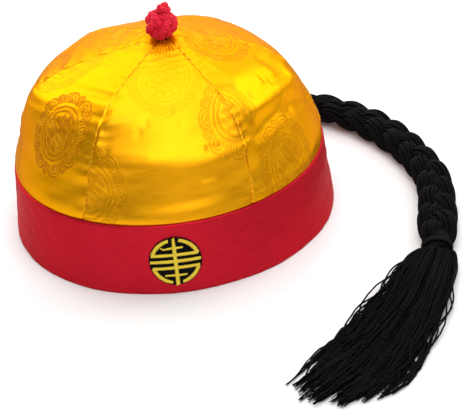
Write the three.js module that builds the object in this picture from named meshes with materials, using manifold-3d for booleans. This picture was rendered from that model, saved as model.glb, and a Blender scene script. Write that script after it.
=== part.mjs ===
// A costume skull cap with a queue: six satin gores sewn into a dome, a stiff band with an
// embroidered roundel, a knotted cord button on top, and a yarn braid that ends in a loose tassel.
// Millimetres, +Z up. The front faces -Y, and the band's lower edge stands on z = 0.

import * as THREE from "three";
import Module from "manifold-3d";
import { mergeVertices } from "three/addons/utils/BufferGeometryUtils.js";

// Driving dimensions

const GAP = 0.3; // clearance between neighbouring pieces
const CLEAR = 0.2; // how far soft pieces stay above the ground
const CLOTH = 1.2; // wall of a gore: satin on its backing

const BAND = { height: 41.7, bottomRadius: 92, topRadius: 88.9, wall: 2, chamfer: 0.35, segments: 64 };

// The dome's outline along a seam, a row for each ring, from the hem inside the band to the tip.
// flat says how far the cloth between two seams is pulled straight: 0 is round, 1 is a flat side.
// shift moves the ring towards +X, turn carries the seams round, and pleat is the depth of the
// gathers under the button. The real cap is sewn by hand, a little askew.
const DOME = [
  { height: 30.0, radius: 86.5, flat: 0.0, shift: 0.4, turn: -1.0, pleat: 0 },
  { height: 36.0, radius: 86.0, flat: 0.0, shift: 0.5, turn: -0.8, pleat: 0 },
  { height: 41.2, radius: 85.8, flat: 0.0, shift: 0.6, turn: -0.5, pleat: 0 },
  { height: 44.0, radius: 86.8, flat: 0.02, shift: 0.7, turn: -0.2, pleat: 0 },
  { height: 48.0, radius: 87.0, flat: 0.05, shift: 0.8, turn: 0.3, pleat: 0 },
  { height: 53.5, radius: 86.0, flat: 0.1, shift: 0.9, turn: 0.8, pleat: 0 },
  { height: 60.0, radius: 84.5, flat: 0.15, shift: 0.9, turn: 1.2, pleat: 0 },
  { height: 67.0, radius: 82.3, flat: 0.21, shift: 0.3, turn: 1.8, pleat: 0 },
  { height: 74.0, radius: 79.6, flat: 0.27, shift: -0.2, turn: 2.9, pleat: 0 },
  { height: 81.0, radius: 76.1, flat: 0.33, shift: -0.6, turn: 3.8, pleat: 0 },
  { height: 87.5, radius: 71.7, flat: 0.39, shift: -0.9, turn: 4.6, pleat: 0 },
  { height: 93.0, radius: 65.9, flat: 0.44, shift: -1.2, turn: 5.2, pleat: 0 },
  { height: 98.0, radius: 57.3, flat: 0.5, shift: -1.2, turn: 5.6, pleat: 0 },
  { height: 102.5, radius: 45.5, flat: 0.54, shift: -0.4, turn: 6.0, pleat: 0.15 },
  { height: 106.2, radius: 32.5, flat: 0.57, shift: 1.3, turn: 6.0, pleat: 0.35 },
  { height: 109.2, radius: 20.0, flat: 0.6, shift: 3.2, turn: 6.0, pleat: 0.5 },
  { height: 111.2, radius: 10.0, flat: 0.6, shift: 4.4, turn: 6.0, pleat: 0.35 },
  { height: 111.4, radius: 2.4, flat: 0.6, shift: 4.8, turn: 6.0, pleat: 0 },
];
const SEAM_DEGREES = [-32, 32, 91, 149, 211, 269]; // from the front, turning towards +X
const GORES = ["front", "front_right", "back_right", "back", "back_left", "front_left"];
const GORE_COLUMNS = 8;

// Folds in the satin, each a ridge or a hollow between two places: azimuth in degrees and height.
// Distances round the hat are taken on cloth that far from the axis.
const FOLD_RADIUS = 80;
const FOLDS = [
  { name: "front ridge", from: [-27, 94], to: [28, 98], lift: 0.9, width: 6 },
  { name: "front crease", from: [-26, 89], to: [26, 91.5], lift: -0.9, width: 5 },
  { name: "front turn", from: [-28, 74], to: [32, 72], lift: 1.0, width: 8 },
  { name: "front hollow over the band", from: [-26, 56], to: [28, 55], lift: -0.8, width: 7 },
  { name: "right long fold", from: [46, 88], to: [82, 83], lift: 1.0, width: 6 },
  { name: "right upper fold", from: [46, 99], to: [72, 93], lift: 0.8, width: 5 },
  { name: "right pinch", from: [75, 74], to: [87, 67], lift: -1.1, width: 5 },
  { name: "left ridge", from: [-72, 100], to: [-42, 91], lift: 0.8, width: 7 },
  { name: "left hollow", from: [-78, 66], to: [-44, 60], lift: -0.7, width: 8 },
  { name: "back right fold", from: [104, 84], to: [142, 90], lift: 0.8, width: 7 },
  { name: "back fold", from: [158, 91], to: [200, 86], lift: 0.8, width: 7 },
  { name: "back left fold", from: [222, 82], to: [262, 88], lift: 0.8, width: 7 },
];

// The roundel lies on the band. Its bars are measured from its middle.
const ROUNDEL = { azimuth: 1.2, height: 20.2, radius: 15, ground: 0.5, thread: 0.7 };
const RING = { outer: 14.3, inner: 12.1, fromPost: 3.0 };
const POST = { length: 28.4, width: 2.1 };
const ROUNDEL_BARS = [
  { name: "upper short", height: 8.3, length: 12.6, width: 1.5 },
  { name: "upper long", height: 4.1, length: 27.0, width: 2.0 },
  { name: "middle", height: 0.1, length: 28.2, width: 2.0 },
  { name: "lower long", height: -4.0, length: 27.0, width: 2.0 },
  { name: "lower short", height: -8.1, length: 12.6, width: 1.5 },
];

// The button is a ball of knotted cord: lumps round a core, and a smaller knot on top.
const BUTTON = { x: 4.8, y: 0, height: 118.9, squash: 0.9, core: 7.3, lump: 3.1, spread: 6.1, lumps: 22, blend: 24 };
const BUTTON_SEAT = 111.85; // its flat underside
const TOP_KNOT = { x: 2.9, height: 12.7, ring: 1.4, lump: 2.9, lumps: 4 };

// The braid's middle line, from the bound root on the back of the band to its tie.
const ROUTE = [
  [5.2, 95.4, 20.0],
  [13.5, 97.4, 14.6],
  [25.5, 100.8, 10.6],
  [40.0, 103.8, 8.9],
  [55.0, 103.6, 8.8],
  [71.0, 100.0, 8.8],
  [86.6, 93.1, 8.8],
  [102.0, 82.0, 8.8],
  [117.5, 65.0, 8.8],
  [133.0, 40.0, 8.8],
  [144.5, 10.5, 8.8],
  [149.5, -13.0, 8.8],
  [149.0, -40.0, 8.8],
  [147.4, -62.0, 8.8],
  [145.4, -82.0, 8.8],
];
const BRAID = { turns: 8, ringsInTurn: 12, sides: 12, blend: 9 };
// Half the swing of a strand sideways and upwards, and its radius: bound, plaited and tied.
const PLAIT = {
  bound: { side: 1.4, up: 2.6, strand: 3.6 },
  full: { side: 5.2, up: 3.4, strand: 5.3 },
  tied: { side: 3.4, up: 1.9, strand: 4.5 },
};
const OPENS_OVER = 38; // length over which the bound root opens into the full plait
const CLOSES_OVER = 14;

const ROOT = { fromAzimuth: 186, toAzimuth: 177.4, fromHeight: 31.5, toHeight: 20.4, wide: 8, thick: 4.2 };
const TIE = { length: 5, wide: 8.9, thick: 7.2, wall: 1.3, wraps: 3 };

// The tassel's short neck fills the tie and reaches past it. Then the locks fan out over the floor:
// where those at the left, in the middle and at the right start, bend and end.
const NECK = { beyondTie: 4, sides: 16 };
const FAN = {
  left: { start: [139.6, -88.0], bend: [98.0, -122.0], end: [53.0, -198.0] },
  middle: { start: [144.9, -88.8], bend: [126.0, -130.0], end: [89.0, -219.0] },
  right: { start: [150.2, -89.6], bend: [147.0, -137.0], end: [119.0, -211.0] },
};
const FAN_REACH = 0.93; // how much of the fan's width the locks' middles take
const LOCK_STEP = 0.05; // how much shorter a lock is than its neighbour
const LOCKS = [
  { layer: "lower", count: 8, rise: 0.3, neckRise: -2.0, shorter: 0 },
  { layer: "upper", count: 5, rise: 3.4, neckRise: 1.9, shorter: 0.08 },
];
const LOCK = { neck: 3.0, belly: 6.4, end: 4.2, point: 1.2, height: 0.52, steps: 8, sides: 7 };

// Plain helpers

const radians = THREE.MathUtils.degToRad;

// A point on a ring: azimuth 0 is the front (-Y), and 90 degrees is +X.
function onRing(radius, azimuth, height) {
  const a = radians(azimuth);
  return new THREE.Vector3(radius * Math.sin(a), -radius * Math.cos(a), height);
}

function bandRadius(height) {
  return THREE.MathUtils.lerp(BAND.bottomRadius, BAND.topRadius, height / BAND.height);
}

// A closed solid between two grids of points that share their edges: across runs over columns,
// and along over rows. outer(c, r) and inner(c, r) give the two faces.
function solidBetween(columns, rows, outer, inner) {
  const points = [];
  for (const face of [outer, inner])
    for (let r = 0; r <= rows; r++) for (let c = 0; c <= columns; c++) points.push(face(c, r));
  const layer = (columns + 1) * (rows + 1);
  const at = (side, c, r) => side * layer + r * (columns + 1) + c;
  const index = [];
  const quad = (a, b, c, d) => index.push(a, b, c, a, c, d);
  for (let r = 0; r < rows; r++)
    for (let c = 0; c < columns; c++) {
      quad(at(0, c, r), at(0, c + 1, r), at(0, c + 1, r + 1), at(0, c, r + 1));
      quad(at(1, c, r), at(1, c, r + 1), at(1, c + 1, r + 1), at(1, c + 1, r));
    }
  for (let c = 0; c < columns; c++) {
    quad(at(0, c, 0), at(1, c, 0), at(1, c + 1, 0), at(0, c + 1, 0));
    quad(at(0, c, rows), at(0, c + 1, rows), at(1, c + 1, rows), at(1, c, rows));
  }
  for (let r = 0; r < rows; r++) {
    quad(at(0, 0, r), at(0, 0, r + 1), at(1, 0, r + 1), at(1, 0, r));
    quad(at(0, columns, r), at(1, columns, r), at(1, columns, r + 1), at(0, columns, r + 1));
  }
  return new THREE.BufferGeometry().setFromPoints(points).setIndex(index);
}

// A closed tube of rings: ring(step, angle) gives its wall, and the first and last rings are
// closed by fans on their own middles.
function closedTube(steps, sides, ring, middle) {
  const points = [];
  for (let s = 0; s <= steps; s++)
    for (let k = 0; k < sides; k++) points.push(ring(s, (2 * Math.PI * k) / sides));
  const first = points.push(middle(0)) - 1;
  const last = points.push(middle(steps)) - 1;
  const index = [];
  for (let k = 0; k < sides; k++) {
    const next = (k + 1) % sides;
    for (let s = 0; s < steps; s++) {
      const [a, b] = [s * sides + k, s * sides + next];
      index.push(a, b, b + sides, a, b + sides, a + sides);
    }
    index.push(first, next, k, last, steps * sides + k, steps * sides + next);
  }
  return new THREE.BufferGeometry().setFromPoints(points).setIndex(index);
}

// How far a ray from the origin reaches through some overlapping balls and a core. A high
// blend gives the last ball's skin, and a lower one rounds the valleys between the balls.
function reachThrough(direction, balls, core, blend) {
  let sum = core ** blend;
  for (const ball of balls) {
    const along = direction.dot(ball.centre);
    const inside = ball.radius ** 2 - ball.centre.lengthSq() + along ** 2;
    if (inside > 0) sum += Math.max(along + Math.sqrt(inside), 0) ** blend;
  }
  return sum ** (1 / blend);
}

// Side and up at a place on a line that lies: both are at right angles to its run.
function lineFrame(curve, share) {
  const run = curve.getTangentAt(share);
  const side = new THREE.Vector3().crossVectors(run, new THREE.Vector3(0, 0, 1)).normalize();
  return { middle: curve.getPointAt(share), run, side, up: side.clone().cross(run) };
}

const wasm = await Module();
wasm.setup();

function toManifold(geometry) {
  const bare = geometry.clone().deleteAttribute("normal").deleteAttribute("uv");
  const merged = mergeVertices(bare, 1e-4);
  const made = new wasm.Mesh({
    numProp: 3,
    vertProperties: merged.attributes.position.array,
    triVerts: new Uint32Array(merged.index.array),
  });
  return new wasm.Manifold(made);
}

function fuse(geometries) {
  const mesh = geometries.map(toManifold).reduce((all, next) => all.add(next)).getMesh();
  return new THREE.BufferGeometry()
    .setAttribute("position", new THREE.BufferAttribute(new Float32Array(mesh.vertProperties), 3))
    .setIndex(new THREE.BufferAttribute(new Uint32Array(mesh.triVerts), 1));
}

// Pieces

// The band: a folded strip of satin over stiffener, sewn into a ring that flares downwards.
function bandGeometry() {
  const { height, wall, chamfer, segments } = BAND;
  const outline = [
    [bandRadius(0) - wall + chamfer, 0],
    [bandRadius(0) - chamfer, 0],
    [bandRadius(chamfer), chamfer],
    [bandRadius(height - chamfer), height - chamfer],
    [bandRadius(height) - 2 * chamfer, height],
    [bandRadius(height) - wall, height],
    [bandRadius(chamfer) - wall, chamfer],
  ];
  const closed = [...outline, outline[0]].map(([r, z]) => new THREE.Vector2(r, z));
  return new THREE.LatheGeometry(closed, segments).rotateX(Math.PI / 2);
}

// How far a fold lifts the cloth at an azimuth and a height.
function foldLift(azimuth, height) {
  let lift = 0;
  for (const fold of FOLDS) {
    const scale = radians(1) * FOLD_RADIUS;
    const [dx, dy] = [(fold.to[0] - fold.from[0]) * scale, fold.to[1] - fold.from[1]];
    const [px, py] = [(azimuth - fold.from[0]) * scale, height - fold.from[1]];
    const share = THREE.MathUtils.clamp((px * dx + py * dy) / (dx * dx + dy * dy), 0, 1);
    const away = Math.hypot(px - share * dx, py - share * dy) / fold.width;
    lift += fold.lift * Math.exp(-away * away);
  }
  return lift;
}

// The dome's cloth at a share of the way across a gore: inset 0 is its outer face.
function domePoint(row, column, gore, inset) {
  const { height, radius, flat, shift, turn, pleat } = DOME[row];
  const before = DOME[Math.max(row - 1, 0)];
  const after = DOME[Math.min(row + 1, DOME.length - 1)];
  const slope = new THREE.Vector2(after.height - before.height, before.radius - after.radius);
  slope.normalize();
  const edge = THREE.MathUtils.radToDeg(GAP / 2 / (radius - CLOTH));
  const sewn = THREE.MathUtils.lerp(gore.from + edge, gore.to - edge, column / GORE_COLUMNS);
  const half = radians(gore.to - gore.from) / 2;
  const straight = Math.cos(half) / Math.cos(radians(sewn - gore.from) - half);
  const gather = pleat * (column % 2 ? 1 : -1) * (column % GORE_COLUMNS ? 1 : 0);
  const out = gather + foldLift(sewn, height) - inset;
  const shaped = radius * (1 - flat * (1 - straight)) + out * slope.x;
  return onRing(shaped, sewn + turn, height + out * slope.y).add(new THREE.Vector3(shift, 0, 0));
}

function goreGeometry(gore) {
  const face = (inset) => (column, row) => domePoint(row, column, gore, inset);
  return solidBetween(GORE_COLUMNS, DOME.length - 1, face(0), face(CLOTH));
}

// Bends a flat piece, drawn in x and y with its thickness in z, round the band.
function wrapOnBand(geometry, lift) {
  const place = geometry.attributes.position;
  for (let i = 0; i < place.count; i++) {
    const height = ROUNDEL.height + place.getY(i);
    const radius = bandRadius(height);
    const azimuth = ROUNDEL.azimuth + THREE.MathUtils.radToDeg(place.getX(i) / radius);
    const point = onRing(radius + lift + place.getZ(i), azimuth, height);
    place.setXYZ(i, point.x, point.y, point.z);
  }
  return geometry;
}

function roundelGroundGeometry() {
  const { radius, ground } = ROUNDEL;
  const rings = [0, 0.5, 1].map((share) => share * radius);
  const under = rings.map((r) => new THREE.Vector2(r, 0));
  const over = [...rings].reverse().map((r) => new THREE.Vector2(r, ground));
  const disc = new THREE.LatheGeometry([...under, ...over], 24).rotateX(Math.PI / 2);
  return wrapOnBand(disc, GAP);
}

// One quarter of the broken ring: right and top are +1 or -1.
function ringQuarter(right, top) {
  const { outer, inner, fromPost } = RING;
  const bar = ROUNDEL_BARS.find((b) => b.name === (top > 0 ? "upper long" : "lower long"));
  const turn = (radius) => ({
    low: Math.asin(Math.abs(bar.height) / radius),
    high: Math.acos(fromPost / radius),
  });
  const [o, i] = [turn(outer), turn(inner)];
  const quarter = new THREE.Shape();
  quarter.absarc(0, 0, outer, o.low, o.high, false);
  quarter.absarc(0, 0, inner, i.high, i.low, true);
  const solid = new THREE.ExtrudeGeometry(quarter, {
    depth: ROUNDEL.thread,
    bevelEnabled: false,
    curveSegments: 5,
  });
  const turned = right * top > 0 ? 0 : Math.PI / 2;
  const flipped = top > 0 ? 0 : Math.PI;
  if (turned === 0) return solid.rotateZ(flipped);
  return mirrored(solid).rotateZ(flipped);
}

// The other-handed piece across x = 0, with its faces still outwards.
function mirrored(geometry) {
  const flat = geometry.index ? geometry.toNonIndexed() : geometry.clone();
  flat.scale(-1, 1, 1);
  const place = flat.attributes.position;
  const [a, b] = [new THREE.Vector3(), new THREE.Vector3()];
  for (let i = 0; i < place.count; i += 3) {
    a.fromBufferAttribute(place, i + 1);
    b.fromBufferAttribute(place, i + 2);
    place.setXYZ(i + 1, b.x, b.y, b.z);
    place.setXYZ(i + 2, a.x, a.y, a.z);
  }
  return flat;
}

function roundelThreadGeometry() {
  const { thread } = ROUNDEL;
  const flatBar = (length, width, x, y, pieces, rows) =>
    new THREE.BoxGeometry(length, width, thread, pieces, rows, 1).translate(x, y, thread / 2);
  const drawn = ROUNDEL_BARS.map((bar) =>
    flatBar(bar.length, bar.width, 0, bar.height, Math.ceil(bar.length / 5), 1),
  );
  drawn.push(flatBar(POST.width, POST.length, 0, 0, 1, 1));
  for (const right of [1, -1]) for (const top of [1, -1]) drawn.push(ringQuarter(right, top));
  const lift = GAP + ROUNDEL.ground + GAP;
  return fuse(drawn.map((piece) => wrapOnBand(piece, lift)));
}

// The button: every direction from its middle reaches to the furthest lump.
function buttonGeometry() {
  const balls = [];
  const golden = Math.PI * (3 - Math.sqrt(5));
  for (let i = 0; i < BUTTON.lumps; i++) {
    const height = 1 - (2 * i + 1) / BUTTON.lumps;
    const radius = Math.sqrt(1 - height ** 2);
    const centre = new THREE.Vector3(radius * Math.cos(golden * i), radius * Math.sin(golden * i), height);
    balls.push({ centre: centre.multiplyScalar(BUTTON.spread), radius: BUTTON.lump });
  }
  for (let i = 0; i < TOP_KNOT.lumps; i++) {
    const turn = (2 * Math.PI * i) / TOP_KNOT.lumps;
    const x = TOP_KNOT.x + TOP_KNOT.ring * Math.cos(turn);
    const centre = new THREE.Vector3(x, TOP_KNOT.ring * Math.sin(turn), TOP_KNOT.height);
    balls.push({ centre, radius: TOP_KNOT.lump });
  }
  const ball = new THREE.IcosahedronGeometry(1, 5);
  const place = ball.attributes.position;
  const direction = new THREE.Vector3();
  for (let i = 0; i < place.count; i++) {
    direction.fromBufferAttribute(place, i).normalize();
    const point = direction.clone().multiplyScalar(reachThrough(direction, balls, BUTTON.core, BUTTON.blend));
    const height = Math.max(BUTTON.height + BUTTON.squash * point.z, BUTTON_SEAT);
    place.setXYZ(i, BUTTON.x + point.x, BUTTON.y + point.y, height);
  }
  return ball;
}

const route = new THREE.CatmullRomCurve3(ROUTE.map((p) => new THREE.Vector3(...p)));
const routeLength = route.getLength();

// The plait's sizes at a distance along the braid.
function plaitAt(along) {
  const opened = THREE.MathUtils.smoothstep(along, 0, OPENS_OVER);
  const closed = THREE.MathUtils.smoothstep(along, routeLength - CLOSES_OVER, routeLength);
  const sized = {};
  for (const key of ["side", "up", "strand"]) {
    const open = THREE.MathUtils.lerp(PLAIT.bound[key], PLAIT.full[key], opened);
    sized[key] = THREE.MathUtils.lerp(open, PLAIT.tied[key], closed);
  }
  return sized;
}

// The braid: three strands that swing from side to side and over each other, a third of a
// turn apart. Each ring follows the outside of the three.
function braidGeometry() {
  const steps = BRAID.turns * BRAID.ringsInTurn;
  const rings = [];
  for (let s = 0; s <= steps; s++) {
    const along = (routeLength * s) / steps;
    const sizes = plaitAt(along);
    const strands = [0, 1, 2].map((k) => {
      const turn = 2 * Math.PI * (s / BRAID.ringsInTurn + k / 3);
      const centre = new THREE.Vector3(sizes.side * Math.sin(turn), sizes.up * Math.sin(2 * turn), 0);
      return { centre, radius: sizes.strand };
    });
    rings.push({ ...lineFrame(route, s / steps), strands, least: sizes.strand / 2 });
  }
  const wall = (s, angle) => {
    const ray = new THREE.Vector3(Math.cos(angle), Math.sin(angle), 0);
    const { middle, side, up, strands, least } = rings[s];
    const reach = reachThrough(ray, strands, least, BRAID.blend);
    return middle.clone().addScaledVector(side, -reach * ray.x).addScaledVector(up, reach * ray.y);
  };
  return closedTube(steps, BRAID.sides, wall, (s) => rings[s].middle);
}

// The bound root: the top end of the braid, whipped flat and stitched to the back of the band.
function rootGeometry() {
  const steps = 6;
  const places = [];
  for (let s = 0; s <= steps; s++) {
    const share = s / steps;
    const height = THREE.MathUtils.lerp(ROOT.fromHeight, ROOT.toHeight, share);
    const azimuth = THREE.MathUtils.lerp(ROOT.fromAzimuth, ROOT.toAzimuth, share);
    places.push(onRing(bandRadius(height) + GAP + ROOT.thick, azimuth, height));
  }
  const line = new THREE.CatmullRomCurve3(places);
  const rounding = [0.72, 0.93, 1, 1, 1, 0.98, 0.9];
  const wall = (s, angle) => {
    const { middle, side, up } = lineFrame(line, s / steps);
    const [across, out] = [ROOT.wide * Math.sin(angle), ROOT.thick * Math.cos(angle)];
    return middle.addScaledVector(side, -rounding[s] * out).addScaledVector(up, rounding[s] * across);
  };
  return closedTube(steps, 14, wall, (s) => line.getPointAt(s / steps));
}

// Turns a piece that stands on +Y, drawn round the origin, into the tie's place and direction.
function placeAtTie(geometry, alongTie) {
  const { middle, run, side, up } = lineFrame(route, 1);
  const turn = new THREE.Matrix4().makeBasis(side, run, up);
  const start = middle.clone().addScaledVector(run, alongTie);
  return geometry.applyMatrix4(turn).translate(start.x, start.y, start.z);
}

// The tie: turns of thread pulled tight round the neck of the tassel.
function tieGeometry() {
  const { length, wide, thick, wall, wraps } = TIE;
  const outline = [new THREE.Vector2(wide - wall, 0)];
  for (let w = 0; w < wraps; w++) {
    const from = (w * length) / wraps;
    outline.push(new THREE.Vector2(wide - wall / 3, from));
    outline.push(new THREE.Vector2(wide, from + length / wraps / 2));
  }
  outline.push(new THREE.Vector2(wide - wall / 3, length), new THREE.Vector2(wide - wall, length));
  const ring = new THREE.LatheGeometry([...outline, outline[0]], 20);
  return placeAtTie(ring.scale(1, 1, thick / wide), GAP);
}

// A place in the fan: across runs from -1 at the left through 0 to 1 at the right.
function inFan(key, across) {
  const weights = {
    left: (across * (across - 1)) / 2,
    middle: 1 - across ** 2,
    right: (across * (across + 1)) / 2,
  };
  const place = new THREE.Vector2();
  for (const [part, weight] of Object.entries(weights))
    place.addScaledVector(new THREE.Vector2(...FAN[part][key]), weight);
  return place;
}

// One lock of the tassel, of some share of the fan's length: it leaves the neck, sinks to the floor
// and thins to its end.
function lockGeometry(across, layer, length) {
  const [start, bend, end] = ["start", "bend", "end"].map((key) => inFan(key, across));
  const neckHeight = ROUTE.at(-1)[2] + layer.neckRise;
  const thickness = (share) => {
    if (share === 1) return LOCK.point;
    const full = THREE.MathUtils.smoothstep(share, 0, 0.45);
    const thin = THREE.MathUtils.smoothstep(share, 0.6, 1);
    const belly = THREE.MathUtils.lerp(LOCK.belly, LOCK.end, thin);
    return THREE.MathUtils.lerp(LOCK.neck, belly, full);
  };
  const flat = new THREE.QuadraticBezierCurve(start, bend, end);
  const places = [];
  for (let s = 0; s <= LOCK.steps; s++) {
    const share = s / LOCK.steps;
    const { x, y } = flat.getPoint(share * length);
    const low = thickness(share) * LOCK.height + CLEAR + layer.rise * (1 - share);
    places.push(new THREE.Vector3(x, y, THREE.MathUtils.lerp(low, neckHeight, (1 - share) ** 3)));
  }
  const line = new THREE.CatmullRomCurve3(places);
  const wall = (s, angle) => {
    const share = s / LOCK.steps;
    const { middle, side, up } = lineFrame(line, share);
    const wide = thickness(share);
    middle.addScaledVector(side, -wide * Math.cos(angle));
    middle.addScaledVector(up, wide * LOCK.height * Math.sin(angle));
    return middle.setZ(Math.max(middle.z, CLEAR));
  };
  return closedTube(LOCK.steps, LOCK.sides, wall, (s) => line.getPointAt(s / LOCK.steps));
}

// The tassel: the yarns beyond the tie, in two layers of locks fused to a short neck.
function tasselGeometry() {
  const neckWide = TIE.wide - TIE.wall - GAP;
  const neckThick = neckWide * (TIE.thick / TIE.wide);
  const neckLength = TIE.length + NECK.beyondTie;
  const neck = new THREE.CylinderGeometry(neckWide, neckWide, neckLength, NECK.sides, 1);
  neck.translate(0, neckLength / 2, 0).scale(1, 1, neckThick / neckWide);
  const pieces = [placeAtTie(neck, GAP)];
  for (const layer of LOCKS)
    for (let i = 0; i < layer.count; i++) {
      const across = THREE.MathUtils.lerp(-1, 1, (i + 0.5) / layer.count) * FAN_REACH;
      const length = 1 - LOCK_STEP * ((i * 2) % 3) - layer.shorter;
      pieces.push(lockGeometry(across, layer, length));
    }
  return fuse(pieces);
}

// Assembly

const SATIN_YELLOW = new THREE.MeshStandardMaterial({ color: 0xf2b90f, roughness: 0.35 });
const SATIN_RED = new THREE.MeshStandardMaterial({ color: 0xb81a2b, roughness: 0.55 });
const THREAD_BLACK = new THREE.MeshStandardMaterial({ color: 0x15131a, roughness: 0.6 });
const THREAD_YELLOW = new THREE.MeshStandardMaterial({ color: 0xe2cf3c, roughness: 0.45 });
const CORD_RED = new THREE.MeshStandardMaterial({ color: 0xc8102e, roughness: 0.8 });
const YARN_BLACK = new THREE.MeshStandardMaterial({ color: 0x0d0d0e, roughness: 0.75 });

const hat = new THREE.Group();

function addPiece(name, geometry, material) {
  const mesh = new THREE.Mesh(geometry, material);
  mesh.name = name;
  hat.add(mesh);
}

GORES.forEach((place, i) => {
  const from = SEAM_DEGREES[i];
  const to = i + 1 < SEAM_DEGREES.length ? SEAM_DEGREES[i + 1] : SEAM_DEGREES[0] + 360;
  addPiece("gore_" + place, goreGeometry({ from, to }), SATIN_YELLOW);
});
addPiece("band", bandGeometry(), SATIN_RED);
addPiece("roundel_ground", roundelGroundGeometry(), THREAD_BLACK);
addPiece("roundel_thread", roundelThreadGeometry(), THREAD_YELLOW);
addPiece("knot_button", buttonGeometry(), CORD_RED);
addPiece("braid_root", rootGeometry(), YARN_BLACK);
addPiece("braid", braidGeometry(), YARN_BLACK);
addPiece("braid_tie", tieGeometry(), YARN_BLACK);
addPiece("tassel", tasselGeometry(), YARN_BLACK);

export default hat;
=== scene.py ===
import math

import bpy
import numpy as np
from mathutils import Matrix, Vector


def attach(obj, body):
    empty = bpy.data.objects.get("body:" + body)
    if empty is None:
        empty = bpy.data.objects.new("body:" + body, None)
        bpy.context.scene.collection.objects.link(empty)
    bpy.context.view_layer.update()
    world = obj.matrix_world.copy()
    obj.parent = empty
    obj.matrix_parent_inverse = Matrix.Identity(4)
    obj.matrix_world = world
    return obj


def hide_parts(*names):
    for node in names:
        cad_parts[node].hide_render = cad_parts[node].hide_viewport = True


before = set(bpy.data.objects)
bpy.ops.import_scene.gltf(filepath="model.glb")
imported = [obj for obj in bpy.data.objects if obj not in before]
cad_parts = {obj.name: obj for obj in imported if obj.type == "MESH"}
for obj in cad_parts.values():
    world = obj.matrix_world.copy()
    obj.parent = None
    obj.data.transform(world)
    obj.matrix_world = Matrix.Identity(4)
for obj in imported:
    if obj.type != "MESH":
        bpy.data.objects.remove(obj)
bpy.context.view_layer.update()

# Camera: the photograph is taken from in front, a little from the right and from above, and the
# hat stands slightly askew in it. Places are in metres here.
CAMERA_PLACE = Vector((0.084971, -1.285833, 0.745269))
CAMERA_AIM = Vector((0.036914, -0.108444, 0.060))
CAMERA_ROLL = math.radians(6.68)
LENS, SENSOR_WIDTH, VIEW_END = 198.1256, 36, 20

backwards = (CAMERA_PLACE - CAMERA_AIM).normalized()
level = Vector((0, 0, 1)).cross(backwards).normalized()
upwards = backwards.cross(level)
picture_x = math.cos(CAMERA_ROLL) * level - math.sin(CAMERA_ROLL) * upwards
picture_y = math.sin(CAMERA_ROLL) * level + math.cos(CAMERA_ROLL) * upwards
camera_turn = Matrix((picture_x, picture_y, backwards)).transposed().to_4x4()
camera = bpy.data.objects.new("camera", bpy.data.cameras.new("camera"))
camera.data.lens = LENS
camera.data.sensor_width = SENSOR_WIDTH
camera.data.clip_end = VIEW_END
camera.matrix_world = Matrix.Translation(CAMERA_PLACE) @ camera_turn
bpy.context.scene.collection.objects.link(camera)
bpy.context.scene.camera = camera

# Braid: three thick strands of black acrylic yarn plaited flat, about 283 mm long. It leaves its
# bound root on the back of the band, drops to the floor and lies there in one loose curve.
# The hat's own sizes are in millimetres, and new_piece() turns them into metres.
MILLIMETRE = 0.001
ROUTE = [
    (5.2, 95.4, 20.0), (13.5, 97.4, 14.6), (25.5, 100.8, 10.6), (40.0, 103.8, 8.9), (55.0, 103.6, 8.8),
    (71.0, 100.0, 8.8), (86.6, 93.1, 8.8), (102.0, 82.0, 8.8), (117.5, 65.0, 8.8), (133.0, 40.0, 8.8),
    (144.5, 10.5, 8.8), (149.5, -13.0, 8.8), (149.0, -40.0, 8.8), (147.4, -62.0, 8.8), (145.4, -82.0, 8.8),
]
ROUTE_STEPS = 222
INTO_NECK = 10
BRAID_TURNS = 5
STRAND_YARNS, YARN_RADIUS, YARN_SIDES = 15, 1.05, 6
CORE_INSET, CORE_SIDES = 1.4, 10
# Half the swing of a strand sideways and upwards, then half its width and half its height.
BOUND, PLAITED, TIED = (1.4, 2.8, 3.9, 3.2), (4.4, 3.8, 6.0, 4.4), (3.3, 2.3, 4.4, 3.6)
PLAITED_FLAT = (1.7, 2.0, 7.8, 5.2)
OPENS_OVER, FLAT_UNTIL, CLOSES_OVER = 40, (75, 170), 14
# The slack: a slow wave in the width, and a swelling some way before the tie.
WAVE_BY, WAVE_LENGTH = 0.05, 17
SWELLS_BY, SWELLS_BEFORE_TIE, SWELLS_OVER = 0.13, 24, 14
FLOOR_CLEAR = 0.12
UP = np.array([0.0, 0.0, 1.0])


def smooth(x, low, high):
    """0 below low, 1 above high, and the cubic 3t^2 - 2t^3 between them."""
    t = np.clip((np.asarray(x, float) - low) / (high - low), 0, 1)
    return t * t * (3 - 2 * t)


def through(rows, places):
    """A smooth line through the rows of a table. Place i + t is the Catmull-Rom blend of rows i - 1
    to i + 2 at t, with the first and last rows mirrored beyond the ends."""
    rows = np.asarray(rows, float)
    rows = np.concatenate([[2 * rows[0] - rows[1]], rows, [2 * rows[-1] - rows[-2]]])
    places = np.clip(np.asarray(places, float), 0, len(rows) - 3)
    i = np.minimum(places.astype(int), len(rows) - 4)
    t = (places - i)[..., None]
    a, b, c, d = (rows[i + k] for k in range(4))
    return b + 0.5 * t * ((c - a) + t * ((2 * a - 5 * b + 4 * c - d) + t * (3 * b - a - 3 * c + d)))


def unit(vectors):
    """Each vector divided by its length."""
    return vectors / np.maximum(np.linalg.norm(vectors, axis=-1, keepdims=True), 1e-9)


def run_along(line):
    """How far each point of a line, or of several, is from its start: the sum of the steps to it."""
    steps = np.linalg.norm(np.diff(line, axis=-2), axis=-1)
    return np.concatenate([np.zeros_like(steps[..., :1]), np.cumsum(steps, axis=-1)], axis=-1)


def read_off(line, gone, at):
    """Places on a line whose points lie at the distances gone, read off between them."""
    return np.stack([np.interp(at, gone, column) for column in line.T], axis=-1)


def frames(line, lean):
    """Run, side and up at each point of some lines: run is the line's direction, side is at right
    angles to run and lean, and up is side x run."""
    run = unit(np.gradient(line, axis=-2))
    side = unit(np.cross(run, lean))
    return run, side, np.cross(side, run)


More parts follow.
